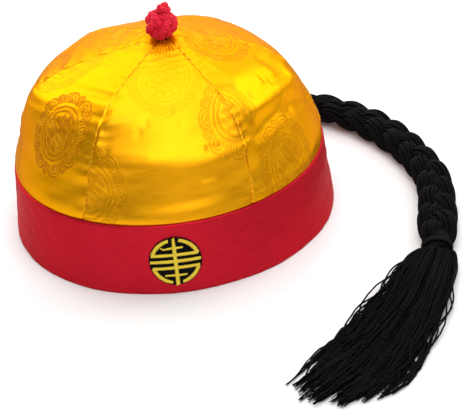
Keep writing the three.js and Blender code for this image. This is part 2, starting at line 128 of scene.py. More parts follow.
def quads(numbers):
    """Faces between the neighbours on grids of point numbers. The corners of the face at (i, j) are
    (i, j), (i, j + 1), (i + 1, j + 1) and (i + 1, j)."""
    low, high = numbers[..., :-1, :], numbers[..., 1:, :]
    corners = [low[..., :-1], low[..., 1:], high[..., 1:], high[..., :-1]]
    return np.stack(corners, axis=-1).reshape(-1, 4)


def numbered(*shape):
    """A grid of the numbers from 0."""
    return np.arange(math.prod(shape)).reshape(shape)


def wrapped(numbers):
    """Grids of point numbers whose first column stands again after the last."""
    return np.concatenate([numbers, numbers[..., :1]], axis=-1)


def tubes(lines, radius, sides, lean=UP, flat=1.0, relief=None):
    """Closed tubes along lines of one length, as points, faces and face UVs. A tube's point at angle
    a is line + r cos a side + r flat sin a up. UV is the share of the turn and the millimetres run.
    relief(turn, along) is added to the radius."""
    lines = np.asarray(lines, float)
    many, steps, _ = lines.shape
    _, side, up = frames(lines, lean)
    turn = np.arange(sides) / sides
    angle = 2 * np.pi * turn
    along = run_along(lines)[..., None]
    r = np.broadcast_to(np.asarray(radius, float), (many, steps))[..., None]
    if relief is not None:
        r = r + relief(turn, along)
    flat = np.broadcast_to(np.asarray(flat, float), (many, steps))[..., None]
    points = (
        lines[:, :, None]
        + (r * np.cos(angle))[..., None] * side[:, :, None]
        + (r * flat * np.sin(angle))[..., None] * up[:, :, None]
    )
    number = numbered(many, steps, sides)
    walls = quads(wrapped(number).swapaxes(1, 2))
    ends = np.concatenate([number[:, 0], number[:, -1, ::-1]])
    uv = np.stack(np.broadcast_arrays(np.arange(sides + 1) / sides, along), axis=-1).reshape(-1, 2)
    wall_uv = uv[quads(numbered(many, steps, sides + 1).swapaxes(1, 2))]
    return points.reshape(-1, 3), [walls, ends], [wall_uv, np.full((2 * many, sides, 2), 0.5)]


def joined(*meshes):
    """Several sets of points, faces and UVs as one, each set's faces counting on from the last."""
    points, faces, uvs, count = [], [], [], 0
    for p, f, uv in meshes:
        points.append(p)
        faces += [k + count for k in f]
        uvs += uv
        count += len(p)
    return np.concatenate(points), faces, uvs


def new_piece(name, mesh_parts, finishes, which=None, crease=None):
    """An object at the origin whose place, in metres, is in its mesh. It rides on the hat's one body.
    which says which finish each face has, and edges sharper than crease, in degrees, stay sharp."""
    points, faces, uvs = mesh_parts
    corners = np.concatenate([f.ravel() for f in faces]).astype(np.int32)
    sizes = np.concatenate([np.full(len(f), f.shape[1]) for f in faces])
    uv = np.concatenate([u.reshape(-1, 2) for u in uvs])
    mesh = bpy.data.meshes.new(name)
    mesh.vertices.add(len(points))
    mesh.vertices.foreach_set("co", (points * MILLIMETRE).astype(np.float32).ravel())
    mesh.loops.add(len(corners))
    mesh.loops.foreach_set("vertex_index", corners)
    mesh.polygons.add(len(sizes))
    mesh.polygons.foreach_set("loop_start", (np.cumsum(sizes) - sizes).astype(np.int32))
    mesh.update(calc_edges=True)
    mesh.uv_layers.new(name="UVMap").data.foreach_set("uv", uv.astype(np.float32).ravel())
    for finish in finishes:
        mesh.materials.append(finish)
    if which is not None:
        mesh.polygons.foreach_set("material_index", which.astype(np.int32))
    mesh.shade_smooth()
    if crease:
        mesh.set_sharp_from_angle(angle=math.radians(crease))
    piece = bpy.data.objects.new(name, mesh)
    bpy.context.scene.collection.objects.link(piece)
    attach(piece, "root")
    return piece


def calc(tree, operation, *inputs, clamp=False):
    """One Math node. Each input is a number or a socket, and the result is its output socket."""
    made = tree.nodes.new("ShaderNodeMath")
    made.operation, made.use_clamp = operation, clamp
    for socket, value in zip(made.inputs, inputs):
        if isinstance(value, (int, float)):
            socket.default_value = value
        else:
            tree.links.new(value, socket)
    return made.outputs[0]


def vary(tree, factor, low, high):
    """low where factor is 0 and high where it is 1. Both are numbers or both are colours, and low
    may be a socket."""
    colours = isinstance(high, tuple)
    made = tree.nodes.new("ShaderNodeMix")
    made.data_type = "RGBA" if colours else "FLOAT"
    first = 6 if colours else 2
    tree.links.new(factor, made.inputs[0])
    for socket, value in ((made.inputs[first], low), (made.inputs[first + 1], high)):
        if isinstance(value, bpy.types.NodeSocket):
            tree.links.new(value, socket)
        else:
            socket.default_value = (*value, 1) if colours else value
    return made.outputs[2 if colours else 0]


def speckle(tree, where, scale, detail=2.0, stretch=(1, 1, 1)):
    """Noise from 0 to 1 at a place, with its grain stretched along some axes."""
    mapping = tree.nodes.new("ShaderNodeMapping")
    mapping.inputs["Scale"].default_value = stretch
    tree.links.new(where, mapping.inputs["Vector"])
    noise = tree.nodes.new("ShaderNodeTexNoise")
    noise.inputs["Scale"].default_value = scale
    noise.inputs["Detail"].default_value = detail
    tree.links.new(mapping.outputs[0], noise.inputs["Vector"])
    return noise.outputs[0]


def first_two(tree, place):
    """The first two numbers of a place."""
    parted = tree.nodes.new("ShaderNodeSeparateXYZ")
    tree.links.new(place, parted.inputs[0])
    return parted.outputs[0], parted.outputs[1]


def new_group(name, place, numbers, results):
    """An empty shader node group that takes a place and some numbers. It gives the group, the sockets
    that bring these in, and the sockets that take its results, which are numbers."""
    group = bpy.data.node_groups.new(name, "ShaderNodeTree")
    group.interface.new_socket(name=place, in_out="INPUT", socket_type="NodeSocketVector")
    for label in numbers:
        group.interface.new_socket(name=label, in_out="INPUT", socket_type="NodeSocketFloat")
    for label in results:
        group.interface.new_socket(name=label, in_out="OUTPUT", socket_type="NodeSocketFloat")
    return group, group.nodes.new("NodeGroupInput").outputs, group.nodes.new("NodeGroupOutput").inputs


def placed(tree, group, place, **numbers):
    """A shader node group in a material, with its place linked and its numbers set. It gives its results."""
    made = tree.nodes.new("ShaderNodeGroup")
    made.node_tree = group
    tree.links.new(place, made.inputs[0])
    for label, value in numbers.items():
        made.inputs[label].default_value = value
    return made.outputs


def new_finish(name, roughness, **constants):
    """A material with one Principled shader, its constants set on its own sockets."""
    finish = bpy.data.materials.new(name)
    finish.use_nodes = True
    shader = finish.node_tree.nodes["Principled BSDF"]
    shader.inputs["Roughness"].default_value = roughness
    for label, value in constants.items():
        shader.inputs[label.replace("_", " ")].default_value = value
    return finish, finish.node_tree, shader


def uv_of(tree):
    """The piece's own UV map."""
    return tree.nodes.new("ShaderNodeTexCoord").outputs["UV"]


def raise_by(tree, shader, height, distance):
    """A Bump node of that height, in metres, on the shader's normal."""
    bump = tree.nodes.new("ShaderNodeBump")
    bump.inputs["Distance"].default_value = distance
    bump.inputs["Strength"].default_value = 1
    tree.links.new(height, bump.inputs["Height"])
    tree.links.new(bump.outputs[0], shader.inputs["Normal"])


# The twist of a yarn, cord or embroidery thread: plies that wind round it, with loose fibres between.
# The ridge is the size of sin(pi (plies u + v / pitch)).
ply_twist, coming, going = new_group("ply_twist", "Thread UV", ["Plies", "Pitch"], ["Ridge", "Fibre"])
u, v = first_two(ply_twist, coming["Thread UV"])
plies_gone = calc(ply_twist, "MULTIPLY", u, coming["Plies"])
pitches_gone = calc(ply_twist, "DIVIDE", v, coming["Pitch"])
half_turns = calc(ply_twist, "MULTIPLY", calc(ply_twist, "ADD", plies_gone, pitches_gone), math.pi)
ply_twist.links.new(calc(ply_twist, "ABSOLUTE", calc(ply_twist, "SINE", half_turns)), going["Ridge"])
ply_twist.links.new(speckle(ply_twist, coming["Thread UV"], 1.0, 3.0, (14, 1.4, 1)), going["Fibre"])


def thread_finish(name, dark, light, plies, pitch, depth, roughness, **constants):
    """Twisted thread: painted shade in the grooves between the plies and light colour on their crowns, with
    fibres that vary both.
    """
    finish, tree, shader = new_finish(name, roughness, **constants)
    twist = placed(tree, ply_twist, uv_of(tree), Plies=plies, Pitch=pitch)
    # Painted shade: the colour darkens towards the grooves between the plies and is lightest on their
    # crowns.
    brightness = calc(tree, "ADD", twist["Fibre"], 0.3)
    shade = calc(tree, "MULTIPLY", twist["Ridge"], brightness, clamp=True)
    tree.links.new(vary(tree, shade, dark, light), shader.inputs["Base Color"])
    height = calc(tree, "ADD", twist["Ridge"], calc(tree, "MULTIPLY", twist["Fibre"], 0.5))
    raise_by(tree, shader, height, depth)
    return finish


black_yarn = thread_finish(
    "black_yarn", (0.0018, 0.0017, 0.002), (0.0052, 0.005, 0.0058), 2.0, 3.4, 0.0003, 0.75,
    Specular_IOR_Level=0.04,
)

chance = np.random.default_rng(283)
to_tie = through(ROUTE, np.linspace(0, len(ROUTE) - 1, 1500))
into_neck = to_tie[-1] + np.linspace(0.5, INTO_NECK, 20)[:, None] * unit(to_tie[-1] - to_tie[-2])
whole_route = np.concatenate([to_tie, into_neck])
gone = np.linspace(0, run_along(whole_route)[-1], ROUTE_STEPS)
route = read_off(whole_route, run_along(whole_route), gone)
route_length = gone[-1] - INTO_NECK
_, route_side, route_up = frames(route, UP)


def plait(along):
    """The plait's four sizes at a distance along the braid: bound, then open, then tied. The open
    plait is pulled flat and even at first, and is slack and wide just before the tie."""
    opened = smooth(along, 0, OPENS_OVER)[:, None]
    closed = smooth(along, route_length - CLOSES_OVER, route_length)[:, None]
    filled = smooth(along, *FLAT_UNTIL)[:, None]
    swelling = (route_length - along - SWELLS_BEFORE_TIE) / SWELLS_OVER
    slack = 1 + WAVE_BY * np.sin(along / WAVE_LENGTH + 0.6) + SWELLS_BY * np.exp(-(swelling**2))
    plaited = np.array(PLAITED_FLAT) + filled * (np.array(PLAITED) - PLAITED_FLAT)
    open_size = np.array(BOUND) + opened * (plaited * slack[:, None] ** [1, 0, 1, 0] - BOUND)
    sized = open_size + closed * (np.array(TIED) - open_size)
    return (sized * (1 - 0.12 * smooth(along, route_length - 1, route_length + 1)[:, None])).T


def strand_yarns(k, rng):
    """The lines of one strand's yarns. The strand swings side sin t and up sin 2t, a third of a turn
    after the last one, and each yarn keeps its place on an oval round it while it twists slowly."""
    swing, lift, wide, high = plait(gone)
    t = 2 * np.pi * (BRAID_TURNS * gone / route_length + k / 3)
    sideways, upwards = (swing * np.sin(t))[:, None], (lift * np.sin(2 * t))[:, None]
    middle = route + sideways * route_side + upwards * route_up
    _, side, up = frames(middle, route_up)
    start = 2 * np.pi * (np.arange(STRAND_YARNS) + rng.uniform(-0.2, 0.2, STRAND_YARNS)) / STRAND_YARNS
    column = lambda low, high: rng.uniform(low, high, (STRAND_YARNS, 1))
    wander = sum(column(0.1, 0.2) * np.sin(gone / column(4, 11) + column(0, 6.3)) for _ in range(3))
    angle = start[:, None] + gone / 26 + 0.5 * wander
    inset = YARN_RADIUS - 0.35 * wander
    across = ((wide - inset) * np.cos(angle))[..., None] * side
    above = ((high - inset) * np.sin(angle))[..., None] * up
    return middle + across + above, middle, wide, high


braid_meshes = []
for k in range(3):
    yarns, middle, wide, high = strand_yarns(k, chance)
    yarns[..., 2] = np.maximum(yarns[..., 2], YARN_RADIUS + FLOOR_CLEAR)
    core_wide, core_high = wide - CORE_INSET, high - CORE_INSET
    braid_meshes.append(tubes(yarns, YARN_RADIUS, YARN_SIDES, route_up))
    braid_meshes.append(tubes(middle[None], core_wide, CORE_SIDES, route_up, flat=core_high / core_wide))
braid = new_piece("braid_strands", joined(*braid_meshes), [black_yarn])
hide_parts("braid")

# Bound root: the braid's top end, whipped flat with black thread and stitched to the outside of the
# band at the back, under the dome's hem. It runs from one azimuth and height to another.
GAP = 0.3
BAND_HEIGHT, BAND_FOOT, BAND_TOP = 41.7, 92.0, 88.9
ROOT_FROM, ROOT_TO, ROOT_STEPS = (186.0, 31.5), (177.4, 20.4), 40
ROOT_HALF_WIDE, ROOT_HALF_THICK, ROOT_CORE_INSET = 8.0, 4.2, 1.0
ROOT_ROUNDING = [0.72, 0.93, 1, 1, 1, 0.98, 0.9]
ROOT_WRAPS, STEPS_IN_WRAP, WHIPPING_RADIUS = 15, 26, 0.55
TACKS_ON_A_SIDE, TACK_RADIUS, TACK_BOW = 5, 0.5, 0.35
black_thread = thread_finish(
    "black_thread", (0.0018, 0.0017, 0.002), (0.0055, 0.0053, 0.0062), 3.0, 1.6, 0.0001, 0.7,
    Specular_IOR_Level=0.06,
)


def band_radius(height):
    """The band's outside is a straight cone between its foot and its top."""
    return BAND_FOOT + (BAND_TOP - BAND_FOOT) * np.asarray(height, float) / BAND_HEIGHT


def on_ring(radius, azimuth, height):
    """A place round the hat: azimuth 0 is the front (-Y) and 90 degrees is +X."""
    a = np.radians(azimuth)
    return np.stack(np.broadcast_arrays(radius * np.sin(a), -radius * np.cos(a), height), axis=-1)


root_share = np.linspace(0, 1, ROOT_STEPS)
root_azimuth, root_height = np.linspace(ROOT_FROM, ROOT_TO, ROOT_STEPS).T
root_line = on_ring(band_radius(root_height) + GAP + ROOT_HALF_THICK, root_azimuth, root_height)
root_run = unit(root_line[-1] - root_line[0])
rounding = np.interp(root_share, np.linspace(0, 1, len(ROOT_ROUNDING)), ROOT_ROUNDING)
core_wide, core_thick = ROOT_HALF_WIDE - ROOT_CORE_INSET, ROOT_HALF_THICK - ROOT_CORE_INSET
root_body = tubes(
    root_line[None], core_wide * rounding, 28, on_ring(1.0, root_azimuth, 0), flat=core_thick / core_wide
)


def at_root(share):
    """The root's middle line at some shares of its way, its side, its up, and the way off the band."""
    middle = read_off(root_line, root_share, share)
    outwards = on_ring(1.0, np.interp(share, root_share, root_azimuth), 0)
    _, side, up = frames(middle, outwards)
    return middle, side, up, outwards


turn = np.linspace(0, ROOT_WRAPS, ROOT_WRAPS * STEPS_IN_WRAP)
middle, side, up, _ = at_root(turn / ROOT_WRAPS)
across = ((ROOT_HALF_WIDE - 0.9) * np.cos(2 * np.pi * turn))[:, None] * side
above = ((ROOT_HALF_THICK - 0.75) * np.sin(2 * np.pi * turn))[:, None] * up
whipping = middle + np.interp(turn / ROOT_WRAPS, root_share, rounding)[:, None] * (across + above)
whipping_tube = tubes(whipping[None], WHIPPING_RADIUS, 6, root_run)


def tacks(count):
    """Short stitches from the whipping to the band, in pairs down both long sides. Each is a low
    arch between a place on the root's side and a place on the band close beside it."""
    middle, side, _, outwards = at_root(np.linspace(0.15, 0.85, count))
    bow = np.linspace(0, 1, 9)[:, None]
    lines = []
    for edge in (-1, 1):
        a = middle + edge * (ROOT_HALF_WIDE - 1.3) * side - 1.2 * outwards
        b = middle + edge * (ROOT_HALF_WIDE - 0.5) * side - (ROOT_HALF_THICK - 0.3) * outwards
        b[:, :2] *= (band_radius(b[:, 2]) / np.linalg.norm(b[:, :2], axis=1))[:, None]
        straight = a[:, None] * (1 - bow) + b[:, None] * bow
        lines.append(straight + TACK_BOW * np.sin(np.pi * bow) * outwards[:, None])
    return np.concatenate(lines)


tack_tubes = tubes(tacks(TACKS_ON_A_SIDE), TACK_RADIUS, 6, root_run)
root = new_piece("root_whipping", joined(root_body, whipping_tube, tack_tubes), [black_thread])
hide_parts("braid_root")

# Tie: a few tight turns of black thread that end the braid and make the tassel's neck. The last
# turn runs on a little way over the first of its own.
TIE_LENGTH, TIE_HALF_WIDE, TIE_HALF_THICK, TIE_THREAD = 5.0, 8.9, 7.2, 0.72
TIE_TURNS, TIE_RUNS_ON = 4, 0.15
tie_run, tie_side, tie_up = (a[-1] for a in frames(route, UP))
tie_start = to_tie[-1] + GAP * tie_run


def at_tie(across, along, up):
    """A place measured from the route's end: across to the side, along the run, and up."""
    across, along, up = (np.asarray(v, float)[..., None] for v in (across, along, up))
    return tie_start + across * tie_side + along * tie_run + up * tie_up


turn = np.linspace(0, TIE_TURNS + TIE_RUNS_ON, 110)
slack = 1 + 0.015 * np.sin(9.7 * turn)
tie_line = at_tie(
    (TIE_HALF_WIDE - TIE_THREAD) * slack * np.cos(2 * np.pi * turn),
    TIE_THREAD + (TIE_LENGTH - 2 * TIE_THREAD) * np.clip(turn / TIE_TURNS, 0, 1) ** 1.05,
    (TIE_HALF_THICK - TIE_THREAD) * slack * np.sin(2 * np.pi * turn),
)
tie = new_piece("tie_thread", tubes(tie_line[None], TIE_THREAD, 8, tie_run), [black_thread])
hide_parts("braid_tie")

# Tassel: the loose ends of the same yarns. They spread over the floor at once in a flat fan, cling
# together in locks that thin towards their tips, and those at the right curl in along the end.
# Stray ones bow out in loops along the left edge, and a few along the right.
FAN = [
    [(138.0, -84.0), (127.5, -90.0), (114.5, -112.0), (96.5, -136.0), (79.0, -158.0), (57.0, -195.0)],
    [(145.0, -88.5), (141.0, -104.0), (127.0, -143.0), (110.5, -174.0), (92.0, -198.0), (73.0, -215.5)],
    [(153.0, -87.0), (154.5, -99.0), (146.0, -131.0), (134.0, -165.0), (124.0, -192.0), (110.0, -213.0)],
]
FAN_LENGTH = 150
TASSEL_YARNS, TASSEL_STEPS, TASSEL_LOCKS = 380, 44, 21
TASSEL_YARN_RADIUS, TASSEL_YARN_SIDES = 0.5, 5
# A yarn's three waves, each the most that it swings and the range of its length.
YARN_WAVES = [(1.1, (34, 62)), (0.6, (14, 26)), (0.3, (6, 10))]
LOCK_SWING, LOCK_WAVES = (0.4, 2.2), 1.6
HEAP_HIGH, HEAP_FALLS = 12.5, 9.3
NECK_HEIGHT = 8.8
INSIDE_TIE = (-1.5, 1.5, 4.0)
THINS_FROM, TIP_THICKNESS = 0.93, 0.55


def in_fan(across, share):
    """A place in the fan, from -1 at the left to 1 at the right and from 0 at the neck to 1 at the
    ends: the quadratic through the fan's left, middle and right lines at that share of their way."""
    left, middle, right = (through(line, share * (len(line) - 1)) for line in FAN)
    a = across[..., None]
    return a * (a - 1) / 2 * left + (1 - a**2) * middle + a * (a + 1) / 2 * right


def tassel_lines(rng):
    """Every yarn's line. Its place across the fan drifts to its lock's, it waves more towards its
    end, and its height falls from the neck's oval to its own layer in the heap."""
    n = TASSEL_YARNS
    column = lambda low, high: rng.uniform(low, high, (n, 1))
    s = np.linspace(0, 1, TASSEL_STEPS)[None, :]

    lock_place = np.linspace(-0.97, 0.97, TASSEL_LOCKS) + rng.uniform(-0.02, 0.02, TASSEL_LOCKS)
    lock = (TASSEL_LOCKS * rng.beta(1.5, 1.5, n)).astype(int)
    lock[: 2 * TASSEL_LOCKS] = np.arange(2 * TASSEL_LOCKS) % TASSEL_LOCKS
    free = np.clip(lock_place[lock] + 0.16 * rng.uniform(-1, 1, n), -1, 1)[:, None]
    gathered = 0.9 * smooth(s, 0.35, 1.0)
    across = free * (1 - gathered) + gathered * lock_place[lock][:, None]
    lock_length = rng.uniform(0.93, 1.0, TASSEL_LOCKS)[lock]
    length = (lock_length * (1 - 0.2 * rng.uniform(0, 1, n) ** 1.7))[:, None]
    flat = in_fan(across, s * length)
    run = unit(np.gradient(flat, axis=1))
    sideways = np.stack([-run[..., 1], run[..., 0]], axis=-1)

    grow = smooth(s, 0.05, 0.8)
    waves = sum(
        column(0.15, size) * np.sin(2 * np.pi * (s * length * FAN_LENGTH / column(*period) + column(0, 1)))
        for size, period in YARN_WAVES
    )
    lock_swing = rng.uniform(*LOCK_SWING, TASSEL_LOCKS) * rng.choice([-1, 1], TASSEL_LOCKS)
    lock_phase = rng.uniform(0, 1, TASSEL_LOCKS)[lock][:, None]
    waves = waves + lock_swing[lock][:, None] * np.sin(2 * np.pi * (s * LOCK_WAVES + lock_phase))
    often = 0.08 + 0.72 * smooth(-free[:, 0], 0.45, 0.8) + 0.4 * smooth(free[:, 0], 0.75, 0.92)
    stray = (rng.uniform(0, 1, n) < often)[:, None] * column(1.5, 6.5) * np.where(across > 0, 0.75, -1)
    bow_start = column(0.08, 0.7)
    bow = np.sin(np.pi * np.clip((s - bow_start) / column(0.14, 0.34), 0, 1))
    flat = flat + (waves * grow)[..., None] * sideways + (stray * bow)[..., None] * sideways

    rank = rng.uniform(0, 1, (n, 1))
    heap = (HEAP_HIGH - HEAP_FALLS * smooth(s, 0.15, 0.9)) * (1 - 0.55 * np.abs(across) ** 3)
    low = TASSEL_YARN_RADIUS + FLOOR_CLEAR + rank**1.15 * heap
    neck_turn = rng.uniform(0, 2 * np.pi, n)
    neck_reach = np.sqrt(rng.uniform(0, 1, n))
    neck_wide, neck_thick = (half - 2 * TIE_THREAD - 0.5 for half in (TIE_HALF_WIDE, TIE_HALF_THICK))
    order = np.argsort(np.argsort(free[:, 0]))
    neck_across = neck_wide * np.sort(neck_reach * np.cos(neck_turn))[order]
    oval = np.sqrt(np.clip(1 - (neck_across / neck_wide) ** 2, 0, 1))
    neck_up = (2 * rank[:, 0] - 1) * oval * neck_thick
    height = low + (NECK_HEIGHT + neck_up[:, None] - low) * (1 - s) ** 3
    sprung = 0.5 * np.sin(2 * np.pi * (s * column(2, 5) + column(0, 1))) * grow * rank
    lines = np.concatenate([flat, (height + sprung)[..., None]], axis=2)

    neck_end = at_tie(neck_across, np.full(n, TIE_LENGTH + 0.2), neck_up)
    ease = (1 - smooth(s, 0.0, 0.1))[..., None]
    lines = lines * (1 - ease) + (neck_end[:, None] + (lines - lines[:, :1])) * ease
    inside = np.stack([at_tie(neck_across, np.full(n, y), neck_up) for y in INSIDE_TIE], axis=1)
    lines = np.concatenate([inside, lines], axis=1)
    lines[..., 2] = np.maximum(lines[..., 2], TASSEL_YARN_RADIUS + FLOOR_CLEAR)
    return lines


thinning = np.interp(np.linspace(0, 1, TASSEL_STEPS), [0, THINS_FROM, 1], [1, 1, TIP_THICKNESS])
thinning = np.concatenate([np.ones(len(INSIDE_TIE)), thinning])
tassel_tubes = tubes(tassel_lines(chance), TASSEL_YARN_RADIUS * thinning, TASSEL_YARN_SIDES)
tassel = new_piece("tassel_yarns", tassel_tubes, [black_yarn])
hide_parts("tassel")

# Satin gores: six pieces of yellow jacquard satin on a thin backing, sewn edge to edge into a dome
# whose hem is caught inside the band. Each seam is a rolled groove with puckers, and the cloth has
# soft folds across it and gathers under the button.
CLOTH, SEAM_GAP = 1.2, 0.3
DEEPEST_CREASE = 0.9
GROOVE_DEPTH, GROOVE_WIDTH = 0.38, 0.6
DRAWN_IN_BY, DRAWN_IN_OVER = 0.15, 4
PUCKER_LIFT, PUCKER_PITCH, PUCKER_REACH = 0.3, 7.4, 4.5
GATHERS_ROUND = 48
# The dome's rings from the hem to the tip: height, radius, flatness between the seams, shift to +X,
# turn of the seams in degrees, and depth of the gathers.
DOME = np.array([
    (30.0, 86.5, 0.00, 0.1, -1.0, 0.00), (36.0, 86.3, 0.00, 0.1, -0.8, 0.00),
    (40.8, 86.75, 0.00, 0.1, -0.5, 0.00), (41.5, 87.3, 0.00, 0.1, -0.45, 0.00),
    (41.85, 87.85, 0.00, 0.1, -0.4, 0.00), (43.2, 88.25, 0.01, 0.2, -0.2, 0.00),
    (48.0, 87.9, 0.05, 0.5, 0.3, 0.00), (53.5, 86.4, 0.10, 0.8, 0.8, 0.00),
    (60.0, 84.5, 0.15, 0.9, 1.2, 0.00), (67.0, 82.3, 0.21, 0.3, 1.8, 0.00),
    (74.0, 79.6, 0.27, -0.2, 2.9, 0.00), (81.0, 76.1, 0.33, -0.6, 3.8, 0.00),
    (87.5, 71.7, 0.39, -0.9, 4.6, 0.00), (93.0, 65.9, 0.44, -1.2, 5.2, 0.00),
    (98.0, 57.3, 0.50, -1.2, 5.6, 0.00), (102.5, 45.5, 0.54, -0.4, 6.0, 0.15),
    (106.2, 32.5, 0.57, 1.3, 6.0, 0.38), (109.2, 20.0, 0.60, 3.2, 6.0, 0.55),
    (111.2, 10.0, 0.60, 4.4, 6.0, 0.32), (111.4, 2.4, 0.60, 4.8, 6.0, 0.00),
])
SEAMS = [-32, 32, 91, 149, 211, 269, 328]
# Where the woven medallions fall on each gore, as it was cut from the bolt: the middle of each,
# across from the gore's middle line and up from the band's top, its turn in degrees, and how
# strongly its figure shows, together with the painted shade along its edges.
CUT = {
    "front": [(-46.0, 18.5, 0, 0.6), (42.0, 53.0, 0, 0.45), (2.0, 84.0, 0, 0.22)],
    "front_right": [
        (-14.0, 11.0, -23, 0.6), (16.6, 94.8, -23, 0.75), (-43.0, 56.0, -23, 0.4), (50.0, 50.0, -23, 0.2),
    ],
    "back_right": [(14.0, 40.0, 14, 0.7), (-34.0, 12.0, 14, 0.5), (-8.0, 94.0, 14, 0.4)],
    "back": [(-20.0, 36.0, -8, 0.8), (36.0, 10.0, -8, 0.5), (14.0, 88.0, -8, 0.4)],
    "back_left": [(22.0, 50.0, 21, 0.7), (-28.0, 14.0, 21, 0.6), (-14.0, 98.0, 21, 0.4)],
    "front_left": [(9.0, 43.0, 18, 1.0), (-30.0, 82.0, 18, 0.35), (-46.0, 6.0, 18, 0.5)],
}
# Folds from one place to another, as azimuth and height, with the lift and the half width.
FOLD_RADIUS = 80
FOLDS = [
    (-27, 94, 28, 98, 0.9, 6), (-26, 86, 26, 88, -0.8, 6), (-28, 74, 32, 72, 1.3, 5.5),
    (-26, 56, 28, 55, -0.8, 7), (42, 86, 84, 80, 1.6, 5), (46, 99, 72, 93, 0.8, 5),
    (40, 76, 62, 80, -1.2, 5), (68, 76, 88, 66, -1.6, 5), (-72, 100, -42, 91, 0.8, 7),
    (-78, 66, -44, 60, -0.9, 8), (-76, 84, -64, 92, -1.0, 5), (104, 84, 142, 90, 0.8, 7),
    (158, 91, 200, 86, 0.8, 7), (222, 82, 262, 88, 0.8, 7),
]
# Small creases that only the outside has.
CREASES = [
    (-29, 89.6, -10, 92.6, -0.6, 2.1), (-10, 92.6, 3, 95.2, -0.7, 2.1), (3, 95.2, 28, 95.0, -0.5, 2.3),
    (-29, 92.9, -10, 95.6, 0.5, 2.3), (-29, 85.2, -13, 88.8, -0.5, 2.1), (-13, 88.8, 5, 90.4, -0.45, 2.3),
    (17, 77.3, 22, 76.2, -0.6, 1.3), (14, 60.2, 19, 59.8, 0.7, 1.4), (-24, 79.8, -8, 78.4, 0.3, 2.2),
    (48, 90.5, 60, 92.0, 0.5, 2.2), (66, 88.6, 80, 84.0, -0.55, 1.8), (76, 77.0, 86, 70.5, 0.55, 1.6),
    (60, 77.0, 70, 80.0, 0.35, 2.4), (36, 84.0, 48, 80.0, -0.3, 2.2), (-70, 92.0, -58, 97.0, -0.4, 2.2),
    (-62, 79.0, -48, 83.0, 0.35, 2.6), (-84, 84.0, -70, 88.0, 0.4, 2.4), (110, 70.0, 128, 74.0, 0.5, 2.4),
    (124, 96.0, 140, 92.5, -0.5, 2.0), (166, 72.0, 184, 69.0, 0.5, 2.4), (186, 97.0, 202, 95.0, -0.5, 2.0),
    (228, 70.0, 246, 74.0, 0.5, 2.4), (238, 95.0, 256, 97.0, -0.5, 2.0), (92, 58.0, 108, 55.0, -0.4, 2.2),
]


def fold_lift(azimuth, height, folds):
    """The sum of the folds. Each lifts by its depth times exp(-(d / width)^2), with d the distance
    from its line on a cloth FOLD_RADIUS from the axis."""
    lift = 0
    scale = math.radians(1) * FOLD_RADIUS
    for a0, h0, a1, h1, depth, width in folds:
        dx, dy = (a1 - a0) * scale, h1 - h0
        px, py = (azimuth - a0) * scale, height - h0
        share = np.clip((px * dx + py * dy) / (dx * dx + dy * dy), 0, 1)
        away = np.hypot(px - share * dx, py - share * dy) / width
        lift = lift + depth * np.exp(-away * away)
    return lift


def ripples(x, y, seed, waves, shortest, longest):
    """Gentle unevenness: a sum of sine waves in seeded directions and lengths, divided by the
    square root of their number."""
    rng = np.random.default_rng(seed)
    total = 0
    for _ in range(waves):
        way, length, phase = rng.uniform(0, np.pi), rng.uniform(shortest, longest), rng.uniform(0, 6.3)
        total = total + np.sin(2 * np.pi * (x * np.cos(way) + y * np.sin(way)) / length + phase)
    return total / math.sqrt(waves)


profile_places = np.linspace(0, len(DOME) - 1, 600)
profile = through(DOME, profile_places)
profile_run = run_along(profile[:, :2])
run_at_band = np.interp(BAND_HEIGHT, profile[:, 0], profile_run)


def dome_at(place):
    """The dome's table read at some places, a column each, and the slope's normal there, as its
    share outwards and its share upwards, from the rings a little ahead and behind."""
    ahead, behind = (through(DOME, place + d)[..., :2] for d in (0.05, -0.05))
    slope = np.stack([ahead[..., 0] - behind[..., 0], behind[..., 1] - ahead[..., 1]])
    return np.moveaxis(through(DOME, place), -1, 0), slope / np.linalg.norm(slope, axis=0)


